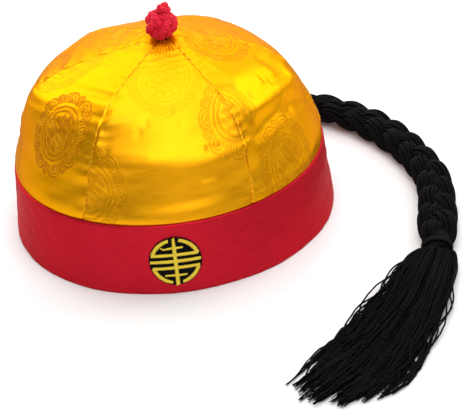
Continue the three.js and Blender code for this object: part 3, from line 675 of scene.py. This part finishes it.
def dome_cloth(first, last, across, place, inset, fine):
    """The dome's cloth between two seams. A ring's radius is drawn in towards the straight line
    between the seams by its flatness, and the folds, puckers and gathers move it along the slope's
    normal. fine is true for the outside, whose small relief is held by a tanh so that it never
    reaches the backing. It gives the points and the place on the cloth, across from the gore's
    middle and up from the band."""
    (height, radius, flat, shift, turned, pleat), slope = dome_at(place)
    edge = np.degrees(SEAM_GAP / 2 / (radius - CLOTH))
    sewn = first + edge + (last - first - 2 * edge) * across
    half = math.radians(last - first) / 2
    from_middle = np.radians(sewn - first) - half
    straight = np.cos(half) / np.cos(from_middle)
    run = np.interp(place, profile_places, profile_run) - run_at_band
    from_first, from_last = (np.radians(np.abs(sewn - seam)) * radius for seam in (first, last))
    from_seam = np.minimum(from_first, from_last)
    out = fold_lift(sewn, height, FOLDS) - inset
    out = out - GROOVE_DEPTH * np.exp(-((from_seam / GROOVE_WIDTH) ** 2))
    out = out - DRAWN_IN_BY * np.exp(-((from_seam / DRAWN_IN_OVER) ** 2))
    gathers = np.sin(np.radians(sewn) * GATHERS_ROUND + 1.2 * np.sin(np.radians(sewn) * 5))
    reach = np.exp(-((from_middle / half / 0.93) ** 8))
    out = out + pleat * 0.5 * gathers * reach * smooth(radius, 24, 9)
    if fine:
        seam_seed = np.where(from_first < from_last, first, last) % 360
        uneven = 0.45 * np.sin(run / 8.3 + seam_seed)
        pucker = np.sin(2 * np.pi * (run / PUCKER_PITCH + uneven) + seam_seed)
        lift = PUCKER_LIFT * pucker * np.exp(-from_seam / PUCKER_REACH) * (1 - np.exp(-from_seam / 0.8))
        lift = lift + fold_lift(sewn, height, CREASES) * (1 - np.exp(-from_seam / 3))
        rippled = 0.08 + 0.16 * smooth(radius, 25, 70)
        lift = lift + rippled * ripples(np.radians(sewn) * radius * 0.45, run, first % 360, 9, 10, 34)
        above_band = smooth(height, 41, 46)
        out = out + above_band * DEEPEST_CREASE * np.tanh(lift / DEEPEST_CREASE)
    shaped = radius * (1 - flat * (1 - straight)) + out * slope[0]
    points = on_ring(shaped, sewn + turned, height + out * slope[1])
    points[..., 0] += shift
    return points, np.radians(sewn - (first + last) / 2) * radius, run


def shell(outer, inner, uv):
    """A closed sheet between two grids: outwards on the first, inwards on the second, and a strip
    round the rim. It gives points, faces, UVs and which faces are the back."""
    rows, columns = outer.shape[:2]
    face = numbered(rows, columns)
    back = face + rows * columns
    around = lambda g: np.concatenate([g[0, :-1], g[:-1, -1], g[-1, :0:-1], g[:0:-1, 0]])
    rim, rim_back = around(face), around(back)
    strip = np.stack([rim, rim_back, np.roll(rim_back, -1), np.roll(rim, -1)], axis=-1)
    faces = np.concatenate([quads(face), quads(back)[:, ::-1], strip])
    points = np.concatenate([outer.reshape(-1, 3), inner.reshape(-1, 3)])
    which = np.zeros(len(faces), int)
    which[len(quads(face)) : 2 * len(quads(face))] = 1
    return (points, [faces], [np.tile(uv.reshape(-1, 2), (2, 1))[faces]]), which


# Satin weave: long floats that lie across the cloth, a few tenths of a millimetre wide, so the sheen
# is streaked. UVs are hundreds of millimetres of cloth, and so are these pitches.
UV_UNIT = 100
WARP_PITCH, WEFT_PITCH = 0.0046, 0.0034
satin_floats, coming, going = new_group("satin_floats", "Cloth", [], ["Streak", "Weave", "Cloud"])
streak = speckle(satin_floats, coming["Cloth"], 1.0, 3.0, (9, 120, 1))
satin_floats.links.new(calc(satin_floats, "MULTIPLY_ADD", streak, 2.2, -0.6, clamp=True), going["Streak"])
u, v = first_two(satin_floats, coming["Cloth"])
warp, weft = (
    calc(satin_floats, "SINE", calc(satin_floats, "MULTIPLY", way, 2 * math.pi / pitch))
    for way, pitch in ((u, WARP_PITCH), (v, WEFT_PITCH))
)
crossed = calc(satin_floats, "MULTIPLY", warp, weft)
satin_floats.links.new(calc(satin_floats, "MULTIPLY_ADD", crossed, 0.5, 0.5), going["Weave"])
satin_floats.links.new(speckle(satin_floats, coming["Cloth"], 4.5, 2.0), going["Cloud"])

# Jacquard medallions: a longevity emblem, a little taller than wide, in a wreath of scrolls. The place
# they read is measured from the nearest medallion's middle, and the mask is 1 on a line of the figure.
EMBLEM_TILT = math.radians(-38)
NARROWED = 1.14
# Rings as radius and half width, and bars as height over the middle, half length and half width.
EMBLEM_RINGS = [(13.4, 0.8), (16.3, 0.5)]
EMBLEM_BARS = [(0.0, 12.6, 1.6), (4.4, 9.6, 1.5), (-4.4, 9.6, 1.5), (8.7, 6.4, 1.3), (-8.7, 6.4, 1.3)]
EMBLEM_POST = (12.6, 1.4)
# Eight cloud scrolls, each two round lobes in one another and a curl, with small buds between them.
# Each is a round line: the height of its middle over the wreath's ring, its radius and half width.
WREATH_SCROLLS, WREATH_RING = 8, 18.4
SCROLL_LINES = [(2.6, 4.9, 0.55), (2.4, 3.1, 0.45), (2.2, 1.0, 0.8)]
BUD_LINES = [(5.0, 1.9, 0.5), (5.0, 0.4, 0.5), (1.4, 0.9, 0.6)]
LINE_FADE = 0.5
RIB_PITCH = 1.15
medallions, coming, going = new_group("medallions", "From Middle", [], ["Figure"])


def draw(operation, *inputs, clamp=False):
    """One Math node in the medallions' group."""
    return calc(medallions, operation, *inputs, clamp=clamp)


def minus(a, b):
    """a - b for sockets or numbers."""
    return draw("SUBTRACT", a, b)


def times(a, b):
    """a b for sockets or numbers."""
    return draw("MULTIPLY", a, b)


def distance(x, y):
    """The square root of x^2 + y^2."""
    return draw("SQRT", draw("ADD", times(x, x), times(y, y)))


def stroke(away, half_width):
    """1 where away is less than half_width from 0, fading over LINE_FADE."""
    return draw("MULTIPLY_ADD", minus(half_width, draw("ABSOLUTE", away)), 1 / LINE_FADE, 0.5, clamp=True)


def sectors(offset):
    """Places in the nearest of the wreath's equal sectors, in millimetres: round its ring and out."""
    sector = draw("MULTIPLY_ADD", bearing, WREATH_SCROLLS / (2 * math.pi), offset)
    rest = minus(sector, draw("ROUND", sector))
    return times(rest, 2 * math.pi / WREATH_SCROLLS * WREATH_RING), minus(reach, WREATH_RING)


def round_line(tangent, radial, height, radius, half_width):
    """A round line about the point at that height on a sector's middle."""
    return stroke(minus(distance(tangent, minus(radial, height)), radius), half_width)


u, v = first_two(medallions, coming["From Middle"])
uneven = minus(speckle(medallions, coming["From Middle"], 22.0, 1.0), 0.5)
x = draw("MULTIPLY_ADD", u, UV_UNIT * NARROWED, times(uneven, 2.2))
y = draw("MULTIPLY_ADD", v, UV_UNIT, times(uneven, -1.8))
reach = distance(x, y)
bearing = draw("ARCTAN2", y, x)
along = draw("ADD", times(x, math.cos(EMBLEM_TILT)), times(y, math.sin(EMBLEM_TILT)))
beside = draw("ADD", times(x, -math.sin(EMBLEM_TILT)), times(y, math.cos(EMBLEM_TILT)))
masks = [stroke(minus(reach, radius), half_width) for radius, half_width in EMBLEM_RINGS]
for height, half_length, half_width in EMBLEM_BARS:
    masks.append(times(stroke(minus(beside, height), half_width), stroke(along, half_length)))
masks.append(times(stroke(beside, EMBLEM_POST[0]), stroke(along, EMBLEM_POST[1])))
tangent, radial = sectors(0.0)
over_ring = stroke(minus(radial, 6.0), 5.6)
masks += [times(round_line(tangent, radial, *line), over_ring) for line in SCROLL_LINES]
tangent, radial = sectors(0.5)
masks += [round_line(tangent, radial, *line) for line in BUD_LINES]
figure = masks[0]
for mask in masks[1:]:
    figure = draw("MAXIMUM", figure, mask)
# The figure's floats lie in ribs, and its lines come and go where they are worn flat.
ribbed = draw("MULTIPLY_ADD", draw("SINE", times(along, 2 * math.pi / RIB_PITCH)), 0.18, 0.82)
wear = speckle(medallions, coming["From Middle"], 9.0, 3.0)
worn = draw("MULTIPLY_ADD", wear, 2.4, -0.45, clamp=True)
medallions.links.new(times(times(figure, ribbed), worn), going["Figure"])


def satin_finish(name, dark, light, metal, roughness, weave_depth, **constants):
    """Plain satin: colour and roughness vary with the floats, and the weave is raised a little."""
    finish, tree, shader = new_finish(name, roughness, Metallic=metal, **constants)
    floats = placed(tree, satin_floats, uv_of(tree))
    clouded = calc(tree, "MULTIPLY", floats["Cloud"], 0.45)
    tone = calc(tree, "MULTIPLY_ADD", floats["Streak"], 0.55, clouded)
    tree.links.new(vary(tree, tone, dark, light), shader.inputs["Base Color"])
    rough = vary(tree, floats["Streak"], roughness - 0.06, roughness + 0.08)
    tree.links.new(rough, shader.inputs["Roughness"])
    height = calc(tree, "ADD", calc(tree, "MULTIPLY", floats["Weave"], 0.5), floats["Streak"])
    raise_by(tree, shader, height, weave_depth)
    return finish


# Yellow jacquard: the figure is paler and duller than the ground, with painted shade along the soft edges of
# its raised lines.
yellow_satin, tree, shader = new_finish(
    "yellow_jacquard_satin", 0.42, Metallic=0.9, Specular_IOR_Level=0.05, Specular_Tint=(0.4, 0.22, 0.005, 1)
)
floats = placed(tree, satin_floats, uv_of(tree))
from_middle = tree.nodes.new("ShaderNodeUVMap")
from_middle.uv_map = "FromMedallion"
woven = placed(tree, medallions, from_middle.outputs[0])["Figure"]
strength = tree.nodes.new("ShaderNodeAttribute")
strength.attribute_name = "figured"
figure = calc(tree, "MULTIPLY", woven, strength.outputs["Fac"])
figure_share = calc(tree, "MULTIPLY", figure, 0.95)
figure_edge_shade = calc(tree, "MULTIPLY", figure, calc(tree, "SUBTRACT", 1.0, woven))
tone = calc(tree, "MULTIPLY_ADD", floats["Streak"], 0.5, calc(tree, "MULTIPLY", floats["Cloud"], 0.5))
colour = vary(tree, tone, (0.79, 0.31, 0.003), (0.91, 0.43, 0.007))
colour = vary(tree, figure_share, colour, (0.95, 0.47, 0.01))
# Painted shade: a dark brownish orange along the soft edges of the figure's lines.
colour = vary(tree, calc(tree, "MULTIPLY", figure_edge_shade, 3.4, clamp=True), colour, (0.45, 0.145, 0.001))
tree.links.new(colour, shader.inputs["Base Color"])
rough = vary(tree, floats["Streak"], 0.3, 0.44)
rough = calc(tree, "ADD", rough, calc(tree, "MULTIPLY", figure_share, 0.15))
tree.links.new(rough, shader.inputs["Roughness"])
tree.links.new(calc(tree, "MULTIPLY_ADD", figure_share, -0.45, 0.9), shader.inputs["Metallic"])
relief = calc(tree, "MULTIPLY_ADD", floats["Streak"], 0.6, calc(tree, "MULTIPLY", figure, 7.0))
relief = calc(tree, "ADD", relief, calc(tree, "MULTIPLY", floats["Weave"], 0.4))
raise_by(tree, shader, relief, 0.00003)

backing_cloth = satin_finish(
    "gore_backing", (0.72, 0.6, 0.33), (0.82, 0.7, 0.42), 0.0, 0.8, 0.00004, Specular_IOR_Level=0.2
)


def from_medallion(corners, middles):
    """Places on the cloth as measured from the nearest medallion's middle and turned with it, and how
    strongly that medallion shows on each face."""
    face_middle = corners.mean(axis=1)
    apart = np.stack([np.hypot(*(face_middle - middle[:2]).T) for middle in middles])
    x, y, turned, shown = np.array(middles)[apart.argmin(axis=0)].T[..., None]
    dx, dy = corners[..., 0] - x, corners[..., 1] - y
    cosine, sine = np.cos(np.radians(turned)), np.sin(np.radians(turned))
    return np.stack([dx * cosine + dy * sine, dy * cosine - dx * sine], axis=-1), shown[:, 0]


GORE_COLUMNS, GORE_ROWS = 97, 150
even = np.linspace(0, 1, GORE_COLUMNS)
# The columns stand closer together near the seams.
gore_across = 0.45 * even + 0.55 * (0.5 - 0.5 * np.cos(np.pi * even))
gore_places = np.interp(np.linspace(0, profile_run[-1], GORE_ROWS), profile_run, profile_places)
across, place = np.meshgrid(gore_across, gore_places)
for (gore, middles), first, last in zip(CUT.items(), SEAMS, SEAMS[1:]):
    outer, cloth_x, cloth_y = dome_cloth(first, last, across, place, 0, fine=True)
    inner, _, _ = dome_cloth(first, last, across, place, CLOTH, fine=False)
    parts, which = shell(outer, inner, np.stack([cloth_x, cloth_y], axis=-1) / UV_UNIT)
    finishes = [yellow_satin, backing_cloth]
    piece = new_piece("satin_gore_" + gore, parts, finishes, which, crease=50)
    local, shown = from_medallion(UV_UNIT * parts[2][0], middles)
    layer = piece.data.uv_layers.new(name="FromMedallion")
    layer.data.foreach_set("uv", (local / UV_UNIT).astype(np.float32).ravel())
    figured_faces = piece.data.attributes.new("figured", "FLOAT", "FACE")
    figured_faces.data.foreach_set("value", shown.astype(np.float32))
    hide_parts("gore_" + gore)

# Seam stitches and tapes: each seam is backstitched in yellow thread down its groove, and a folded
# tape covers it inside. Both stop short of the button.
STITCH_LENGTH, STITCH_PITCH, STITCH_RADIUS = 2.1, 3.0, 0.28
STITCHES_FROM, STITCHES_STOP_SHORT = 0.8, 12
TAPE_HALF_WIDTH, TAPE_THICK, TAPE_BOW = 4.0, 0.5, 0.12
TAPE_FROM, TAPE_STOPS_SHORT = -9, 6
seam_thread = thread_finish(
    "seam_thread", (0.8, 0.34, 0.006), (1.0, 0.5, 0.015), 2.0, 1.0, 0.00005, 0.6, Specular_IOR_Level=0.3
)


def seam_line(seam, run, inset):
    """Places down a seam at some distances up the cloth from the band, below its face by inset."""
    place = np.interp(run + run_at_band, profile_run, profile_places)
    (height, radius, _, shift, turned, _), slope = dome_at(place)
    out = fold_lift(seam, height, FOLDS) - 1.0 - inset
    points = on_ring(radius + out * slope[0], seam + turned, height + out * slope[1])
    points[..., 0] += shift
    return points


seam_length = profile_run[-1] - run_at_band
stitch_starts = np.arange(STITCHES_FROM, seam_length - STITCHES_STOP_SHORT, STITCH_PITCH)
stitch_runs = stitch_starts[:, None] + np.linspace(0, STITCH_LENGTH, 5)
stitch_dip = 0.35 * np.linspace(-1, 1, 5) ** 2
stitch_lines = np.concatenate([seam_line(seam, stitch_runs, stitch_dip - 0.25) for seam in SEAMS[:-1]])
new_piece("seam_stitches", tubes(stitch_lines, STITCH_RADIUS, 6), [seam_thread])

tape_runs = np.linspace(TAPE_FROM, seam_length - TAPE_STOPS_SHORT, 70)
spread = np.linspace(-1, 1, 9)
tape_uv = np.stack(np.broadcast_arrays(TAPE_HALF_WIDTH * spread, tape_runs[:, None]), axis=-1) / UV_UNIT
tape_across, tape_bow = TAPE_HALF_WIDTH * spread[:, None], TAPE_BOW * spread[:, None] ** 2
tape_meshes = []
for seam in SEAMS[:-1]:
    middle = seam_line(seam, tape_runs, CLOTH + 0.15)
    _, side, up = frames(middle, on_ring(1.0, seam, 0) + 0.4 * UP)
    side, up = side[:, None], up[:, None]
    sheet = middle[:, None] + tape_across * side - tape_bow * up
    parts, _ = shell(sheet, sheet - TAPE_THICK * up, tape_uv)
    tape_meshes.append(parts)
new_piece("seam_tapes", joined(*tape_meshes), [backing_cloth], crease=50)

# Band: a strip of plain red satin folded over stiffener and sewn into a ring that flares downwards.
# Both long edges are folds, and the ends overlap in an upright seam at the back. It lies flat under
# the roundel.
BAND_WALL, BAND_SEAM = 2.0, 202.0
BAND_ROWS, BAND_COLUMNS = 96, 540
MM_PER_DEGREE = 1.57
OVERLAP_STEP, OVERLAP_GROOVE = 0.55, 0.35
ROUNDEL_AZIMUTH, ROUNDEL_HEIGHT, FLAT_UNDER_ROUNDEL = 1.2, 20.2, 18.5
red_satin = satin_finish(
    "plain_red_satin", (0.42, 0.0095, 0.019), (0.6, 0.015, 0.032), 0.6, 0.45, 0.00003,
    Specular_IOR_Level=0.1, Specular_Tint=(0.6, 0.04, 0.06, 1),
)
BAND_CREASES = [
    (-60, 14, -44, 17, 0.22, 2.4), (-52, 30, -30, 27, -0.2, 2.6), (-26, 12, -12, 10, 0.2, 2.2),
    (-20, 33, 4, 34.5, 0.22, 2.2), (12, 30, 40, 33, -0.2, 2.4), (22, 14, 44, 18, 0.24, 2.6),
    (40, 26, 62, 22, 0.2, 2.6), (58, 12, 84, 16, -0.22, 2.6), (70, 31, 96, 29, 0.2, 2.4),
    (100, 18, 124, 22, 0.22, 2.6), (130, 30, 152, 27, -0.22, 2.4), (142, 11, 166, 13, 0.2, 2.2),
    (214, 26, 240, 22, 0.22, 2.6), (226, 12, 250, 15, -0.2, 2.4), (252, 31, 276, 28, 0.22, 2.4),
    (266, 17, 292, 14, 0.2, 2.4),
]


def band_points(azimuth, turn):
    """The band's cross-section is a rounded bar that leans outwards: turn goes up the outside, over
    the top fold, down the inside and under the foot. Creases and a slow waviness lift its outside."""
    half = BAND_WALL / 2
    straight, bend = BAND_HEIGHT - 2 * half, math.pi * half
    along = turn * 2 * (straight + bend)
    up_outside = np.clip(along, 0, straight)
    over = np.clip(along - straight, 0, bend) / half
    down_inside = np.clip(along - straight - bend, 0, straight)
    under = np.clip(along - 2 * straight - bend, 0, bend) / half
    height = half + up_outside - down_inside + half * np.sin(over + under)
    height = np.clip(height, 0, BAND_HEIGHT)
    outside = half * np.cos(over + under)
    is_outside = smooth(outside, -half * 0.9, half * 0.9)
    lift = fold_lift(azimuth, height, BAND_CREASES) * smooth(height, 2, 8) * (1 - smooth(height, 36, 40))
    lift = lift + 0.24 * ripples(np.radians(azimuth) * 60, height * 1.8, 11, 7, 24, 70)
    lift = lift + 0.09 * ripples(np.radians(azimuth) * 90, height * 2.0, 12, 9, 7, 18)
    beyond = (azimuth - BAND_SEAM) * MM_PER_DEGREE
    lift = lift + OVERLAP_STEP * smooth(beyond, 0, 0.5) * (1 - smooth(beyond, 3, 10))
    lift = lift - OVERLAP_GROOVE * np.exp(-((beyond + 0.3) ** 2) / 0.3)
    from_roundel = np.hypot((azimuth - ROUNDEL_AZIMUTH) * MM_PER_DEGREE, height - ROUNDEL_HEIGHT)
    lift = lift * (1 - np.exp(-((from_roundel / FLAT_UNDER_ROUNDEL) ** 8)))
    radius = band_radius(height) - half + outside + lift * is_outside
    return on_ring(radius, azimuth, height)


turn, azimuth = np.meshgrid(
    np.arange(BAND_ROWS) / BAND_ROWS, BAND_SEAM - 180 + 360 * np.arange(BAND_COLUMNS) / BAND_COLUMNS,
    indexing="ij",
)
# The grid closes on itself both ways, and its UVs run on unbroken over the joins.
band_faces = quads(np.pad(numbered(BAND_ROWS, BAND_COLUMNS), ((0, 1), (0, 1)), mode="wrap"))
band_uv = np.stack(
    np.meshgrid(np.linspace(0, 5.7, BAND_COLUMNS + 1), np.linspace(0, 0.86, BAND_ROWS + 1)), axis=-1
).reshape(-1, 2)[quads(numbered(BAND_ROWS + 1, BAND_COLUMNS + 1))]
band_mesh = (band_points(azimuth, turn).reshape(-1, 3), [band_faces], [band_uv])
band = new_piece("satin_band", band_mesh, [red_satin])
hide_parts("band")

# Roundel: an embroidered longevity emblem, a disc of black stitches with the strokes of the emblem
# laid over it in yellow satin stitch, thread by thread across each stroke.
ROUNDEL_RADIUS = 14.3
GROUND_LIFT, GROUND_THICK = 0.3, 0.5
GROUND_RINGS, GROUND_COLUMNS = 60, 120
GROUND_ROW, GROUND_ROW_LIFT = 0.62, 0.07
THREAD_RADIUS, THREAD_PITCH, THREAD_STEPS = 0.23, 0.36, 7
RIM_INSET, RIM_RADIUS, RIM_PITCH = 0.35, 0.24, 0.4
yellow_thread = thread_finish(
    "yellow_embroidery_thread", (0.52, 0.3, 0.008), (1.0, 0.84, 0.06), 2.0, 1.1, 0.00004, 0.42,
    Specular_IOR_Level=0.35,
)


def on_band(x, y, out):
    """A place on the band, x and y from the roundel's middle and out from the band's face."""
    height = ROUNDEL_HEIGHT + np.asarray(y, float)
    radius = band_radius(height)
    return on_ring(radius + out, ROUNDEL_AZIMUTH + np.degrees(np.asarray(x, float) / radius), height)


# The disc's rings go out over its face and in under its rounded edge.
disc_reach = np.concatenate([np.linspace(0.02, 0.97, GROUND_RINGS), [0.99, 1.0, 1.0, 0.97]])
disc_out = np.concatenate([np.full(GROUND_RINGS, GROUND_THICK), [0.44, 0.3, 0.0, 0.0]])[:, None]
angle = 2 * np.pi * np.arange(GROUND_COLUMNS) / GROUND_COLUMNS
x, y = (ROUNDEL_RADIUS * disc_reach[:, None] * f(angle) for f in (np.cos, np.sin))
rows_of_stitches = GROUND_ROW_LIFT * np.sin(2 * np.pi * (x + 0.12 * y) / GROUND_ROW) * (disc_out > 0.45)
disc_points = on_band(x, y, GROUND_LIFT + disc_out + rows_of_stitches).reshape(-1, 3)
number = numbered(*x.shape)
disc_faces = [quads(wrapped(number).T), number[:1], number[-1:, ::-1]]
disc_flat = np.stack([x, y], axis=-1).reshape(-1, 2)
disc_mesh = (disc_points, disc_faces, [disc_flat[face] for face in disc_faces])


def satin_stitch(line, width, pitch, base, arch, slant, rng):
    """Threads laid across a stroke. Each runs from one edge to the other, leans by slant along the
    stroke, and arches over it, higher in the middle: out = base + arch (1 - t^2)."""
    line = np.array(line, float)
    gone = run_along(line)
    at = np.arange(pitch / 2, gone[-1], pitch)
    middle, ahead, behind = (read_off(line, gone, at + d) for d in (0, 0.2, -0.2))
    run = unit(ahead - behind)
    across = np.stack([-run[:, 1], run[:, 0]], axis=1)
    half = np.interp(at / gone[-1], np.linspace(0, 1, len(width)), width) / 2
    half = half + rng.uniform(-0.09, 0.09, len(at))
    t = np.linspace(-1, 1, THREAD_STEPS)
    flat = middle[:, None] + (half[:, None] * t)[..., None] * (across + slant * run)[:, None]
    out = base + arch * (1 - t**2) + rng.uniform(-0.05, 0.05, (len(at), 1))
    return on_band(flat[..., 0], flat[..., 1], out)


def arc(radius, low, high, steps=26):
    """A round stretch from one angle to another, in degrees."""
    angle = np.radians(np.linspace(low, high, steps))
    return radius * np.stack([np.cos(angle), np.sin(angle)], axis=1)


def thread_tubes(lines, radius):
    """Threads on the band. Their tubes lean by the level way out from the hat's middle."""
    return tubes(lines, radius, 6, unit(lines * [1, 1, 0]))


# The emblem's strokes and their widths, thinner where they end: three long bars, four short ones
# beside the post, and the ring in four parts.
EMBLEM_RING = 12.95
STROKES = [
    ([(-13.0, 4.0), (13.0, 3.9)], (1.7, 1.7)), ([(-13.9, 0.1), (13.9, 0.1)], (1.6, 1.8, 1.7)),
    ([(-13.0, -3.9), (13.0, -3.75)], (1.7, 1.6, 1.6)),
    ([(-7.3, 8.8), (-6.1, 7.7), (-4.4, 7.8), (-0.9, 8.3)], (0.6, 0.9, 1.1)),
    ([(0.9, 8.2), (4.7, 8.2)], (1.3, 1.1, 0.7)), ([(-6.6, -8.3), (-0.9, -8.4)], (0.7, 1.1, 1.1)),
    ([(0.9, -8.5), (5.5, -8.4)], (1.2, 1.0, 0.7)),
    (arc(EMBLEM_RING, 18.5, 77.5), (1.9, 2.0, 1.6)), (arc(EMBLEM_RING, 102.5, 161.5), (1.6, 2.0, 1.9)),
    (arc(EMBLEM_RING, 198.5, 257.5), (1.9, 2.0, 1.6)), (arc(EMBLEM_RING, 282.5, 341.5), (1.6, 2.0, 1.9)),
]
POST, POST_WIDTHS = [(0.05, 14.3), (0.0, -14.1)], (1.4, 1.9, 1.9, 1.9, 2.0)
chance = np.random.default_rng(88)
thread_base = GROUND_LIFT + GROUND_THICK + 0.1
threads = [
    satin_stitch(line, width, THREAD_PITCH, thread_base, 0.42, 0.25, chance) for line, width in STROKES
]
threads.append(satin_stitch(POST, POST_WIDTHS, THREAD_PITCH, thread_base + 0.25, 0.5, -0.45, chance))
emblem_mesh = thread_tubes(np.concatenate(threads), THREAD_RADIUS)
emblem = new_piece("emblem_stitches", emblem_mesh, [yellow_thread])
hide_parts("roundel_thread")
rim_line = arc(ROUNDEL_RADIUS - RIM_INSET, 0, 360, 101)
rim = satin_stitch(rim_line, (0.9, 0.9), RIM_PITCH, GROUND_LIFT + 0.2, 0.35, 0.15, chance)
ground_mesh = joined(disc_mesh, thread_tubes(rim, RIM_RADIUS))
ground = new_piece("emblem_ground", ground_mesh, [black_thread], crease=60)
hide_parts("roundel_ground")

# Button: a ball of thick knitted red cord, worked over and under itself in four leads and five bights
# round a stuffed core, with a small knot of the same cord standing on it.
BUTTON_MIDDLE, KNOT_MIDDLE = np.array([4.6, 0.0, 120.0]), np.array([7.0, 0.0, 129.0])
CORD_RADIUS, KNOT_CORD_RADIUS = 2.45, 1.7
BALL_RADIUS, KNOT_RADIUS = 6.1, 1.8
CORE_RADII, STALK_RADII = (6.4, 6.4, 5.7), (2.6, 2.6, 4.0)
CORE_ROWS, CORE_COLUMNS = 20, 30


def knitted(columns, stitch, depth):
    """The relief of a knitted cord: V-shaped stitches in columns round it, their slant turned from
    one column to the next, with a furrow between columns."""
    def relief(turn, along):
        column = turn * columns
        rest = column - np.floor(column) - 0.5
        way = np.where(np.floor(column) % 2 < 1, 1.0, -1.0)
        v = 0.5 + 0.5 * np.cos(2 * np.pi * (along / stitch + 0.8 * way * rest))
        return depth * (np.sqrt(v) * np.cos(np.pi * rest) ** 0.6 - 0.5)
    return relief


def on_ball(latitude, bearing):
    """The place on a ball of radius 1 at a latitude and a bearing."""
    level = np.cos(latitude)
    return np.stack(
        np.broadcast_arrays(level * np.cos(bearing), level * np.sin(bearing), np.sin(latitude)), axis=-1
    )


def turks_head(leads, bights, radius, weave, highest, steps, middle, squash):
    """A cord that circles a ball while its latitude swings as a cosine, over and under itself in
    turn: its reach is radius + weave tanh(2 sin((leads - 1) t)). It gives the line and its lean."""
    circle = np.linspace(0, 2 * np.pi * leads, steps)
    t = circle * bights / leads
    ball = on_ball(math.radians(highest) * np.cos(t), circle)
    reach = radius + weave * np.tanh(2 * np.sin((leads - 1) * t))
    return (middle + reach[:, None] * ball * [1, 1, squash])[None], ball


def ball_mesh(middle, radii):
    """An ellipsoid: rows of rings between two closed poles."""
    latitude = np.linspace(-np.pi / 2, np.pi / 2, CORE_ROWS)[1:-1, None]
    bearing = 2 * np.pi * np.arange(CORE_COLUMNS) / CORE_COLUMNS
    points = np.array(middle) + on_ball(latitude, bearing) * np.array(radii)
    number = numbered(*points.shape[:2])
    faces = [quads(wrapped(number)), number[:1, ::-1], number[-1:]]
    uv = np.stack(np.broadcast_arrays(bearing / (2 * np.pi), latitude * 5), axis=-1).reshape(-1, 2)
    return points.reshape(-1, 3), faces, [uv[face] for face in faces]


red_cord = thread_finish(
    "red_cord", (0.36, 0.002, 0.008), (0.94, 0.016, 0.055), 6.0, 1.3, 0.00006, 0.7,
    Specular_IOR_Level=0.2, Sheen_Weight=0.12, Sheen_Roughness=0.4, Sheen_Tint=(1.0, 0.35, 0.45, 1),
)
ball_line, ball_lean = turks_head(4, 5, BALL_RADIUS, 0.95, 62, 760, BUTTON_MIDDLE, 0.93)
knot_line, knot_lean = turks_head(3, 2, KNOT_RADIUS, 0.7, 42, 260, KNOT_MIDDLE, 1.05)
button_mesh = joined(
    tubes(ball_line, CORD_RADIUS, 30, ball_lean, relief=knitted(6, 2.3, 0.8)),
    tubes(knot_line, KNOT_CORD_RADIUS, 24, knot_lean, relief=knitted(5, 2.1, 0.7)),
    ball_mesh(BUTTON_MIDDLE, CORE_RADII),
    ball_mesh((BUTTON_MIDDLE + KNOT_MIDDLE) / 2 + [0, 0, 0.8], STALK_RADII),
)
button = new_piece("button_cord", button_mesh, [red_cord])
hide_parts("knot_button")

# Floor and light: a plain pale studio floor, wide soft lights in front, overhead, behind and at both
# sides, and a little light from everywhere. Sizes are in metres here.
LIGHT_DISTANCE = 1.7
HAT_MIDDLE = Vector((0, 0, 0.06))
LIGHT_FROM_EVERYWHERE = 0.28
floor = bpy.data.objects.new("floor", bpy.data.meshes.new("floor"))
floor.data.from_pydata([(-1, -0.9, 0), (1, -0.9, 0), (1, 1.2, 0), (-1, 1.2, 0)], [], [(0, 1, 2, 3)])
bpy.context.scene.collection.objects.link(floor)
pale, _, _ = new_finish("pale_floor", 0.9, Specular_IOR_Level=0.1, Base_Color=(0.8, 0.8, 0.8, 1))
floor.data.materials.append(pale)


def soft_light(name, azimuth, elevation, size, watts):
    """A square area light that faces the hat from an azimuth and an elevation in degrees."""
    light = bpy.data.objects.new(name, bpy.data.lights.new(name, "AREA"))
    light.data.shape, light.data.size, light.data.energy = "SQUARE", size, watts
    around, above = math.radians(azimuth), math.radians(elevation)
    way = Vector((math.cos(above) * math.sin(around), -math.cos(above) * math.cos(around), math.sin(above)))
    light.location = LIGHT_DISTANCE * way
    light.rotation_mode = "QUATERNION"
    light.rotation_quaternion = (HAT_MIDDLE - light.location).to_track_quat("-Z", "Y")
    light.visible_camera = False
    bpy.context.scene.collection.objects.link(light)


soft_light("high_front_light", 14, 58, 1.3, 14)
soft_light("overhead_light", 180, 84, 1.0, 8)
soft_light("high_back_light", 188, 50, 1.2, 10)
soft_light("left_light", 225, 28, 1.0, 11)
soft_light("right_light", 122, 36, 1.2, 14)
soft_light("backdrop_light", 178, 10, 1.4, 12)
soft_light("front_light", 10, 32, 1.1, 4.5)
world = bpy.data.worlds.new("studio")
bpy.context.scene.world = world
world.use_nodes = True
world.node_tree.nodes["Background"].inputs["Color"].default_value = (1, 1, 1, 1)
world.node_tree.nodes["Background"].inputs["Strength"].default_value = LIGHT_FROM_EVERYWHERE
bpy.context.scene.view_settings.view_transform = "Standard"
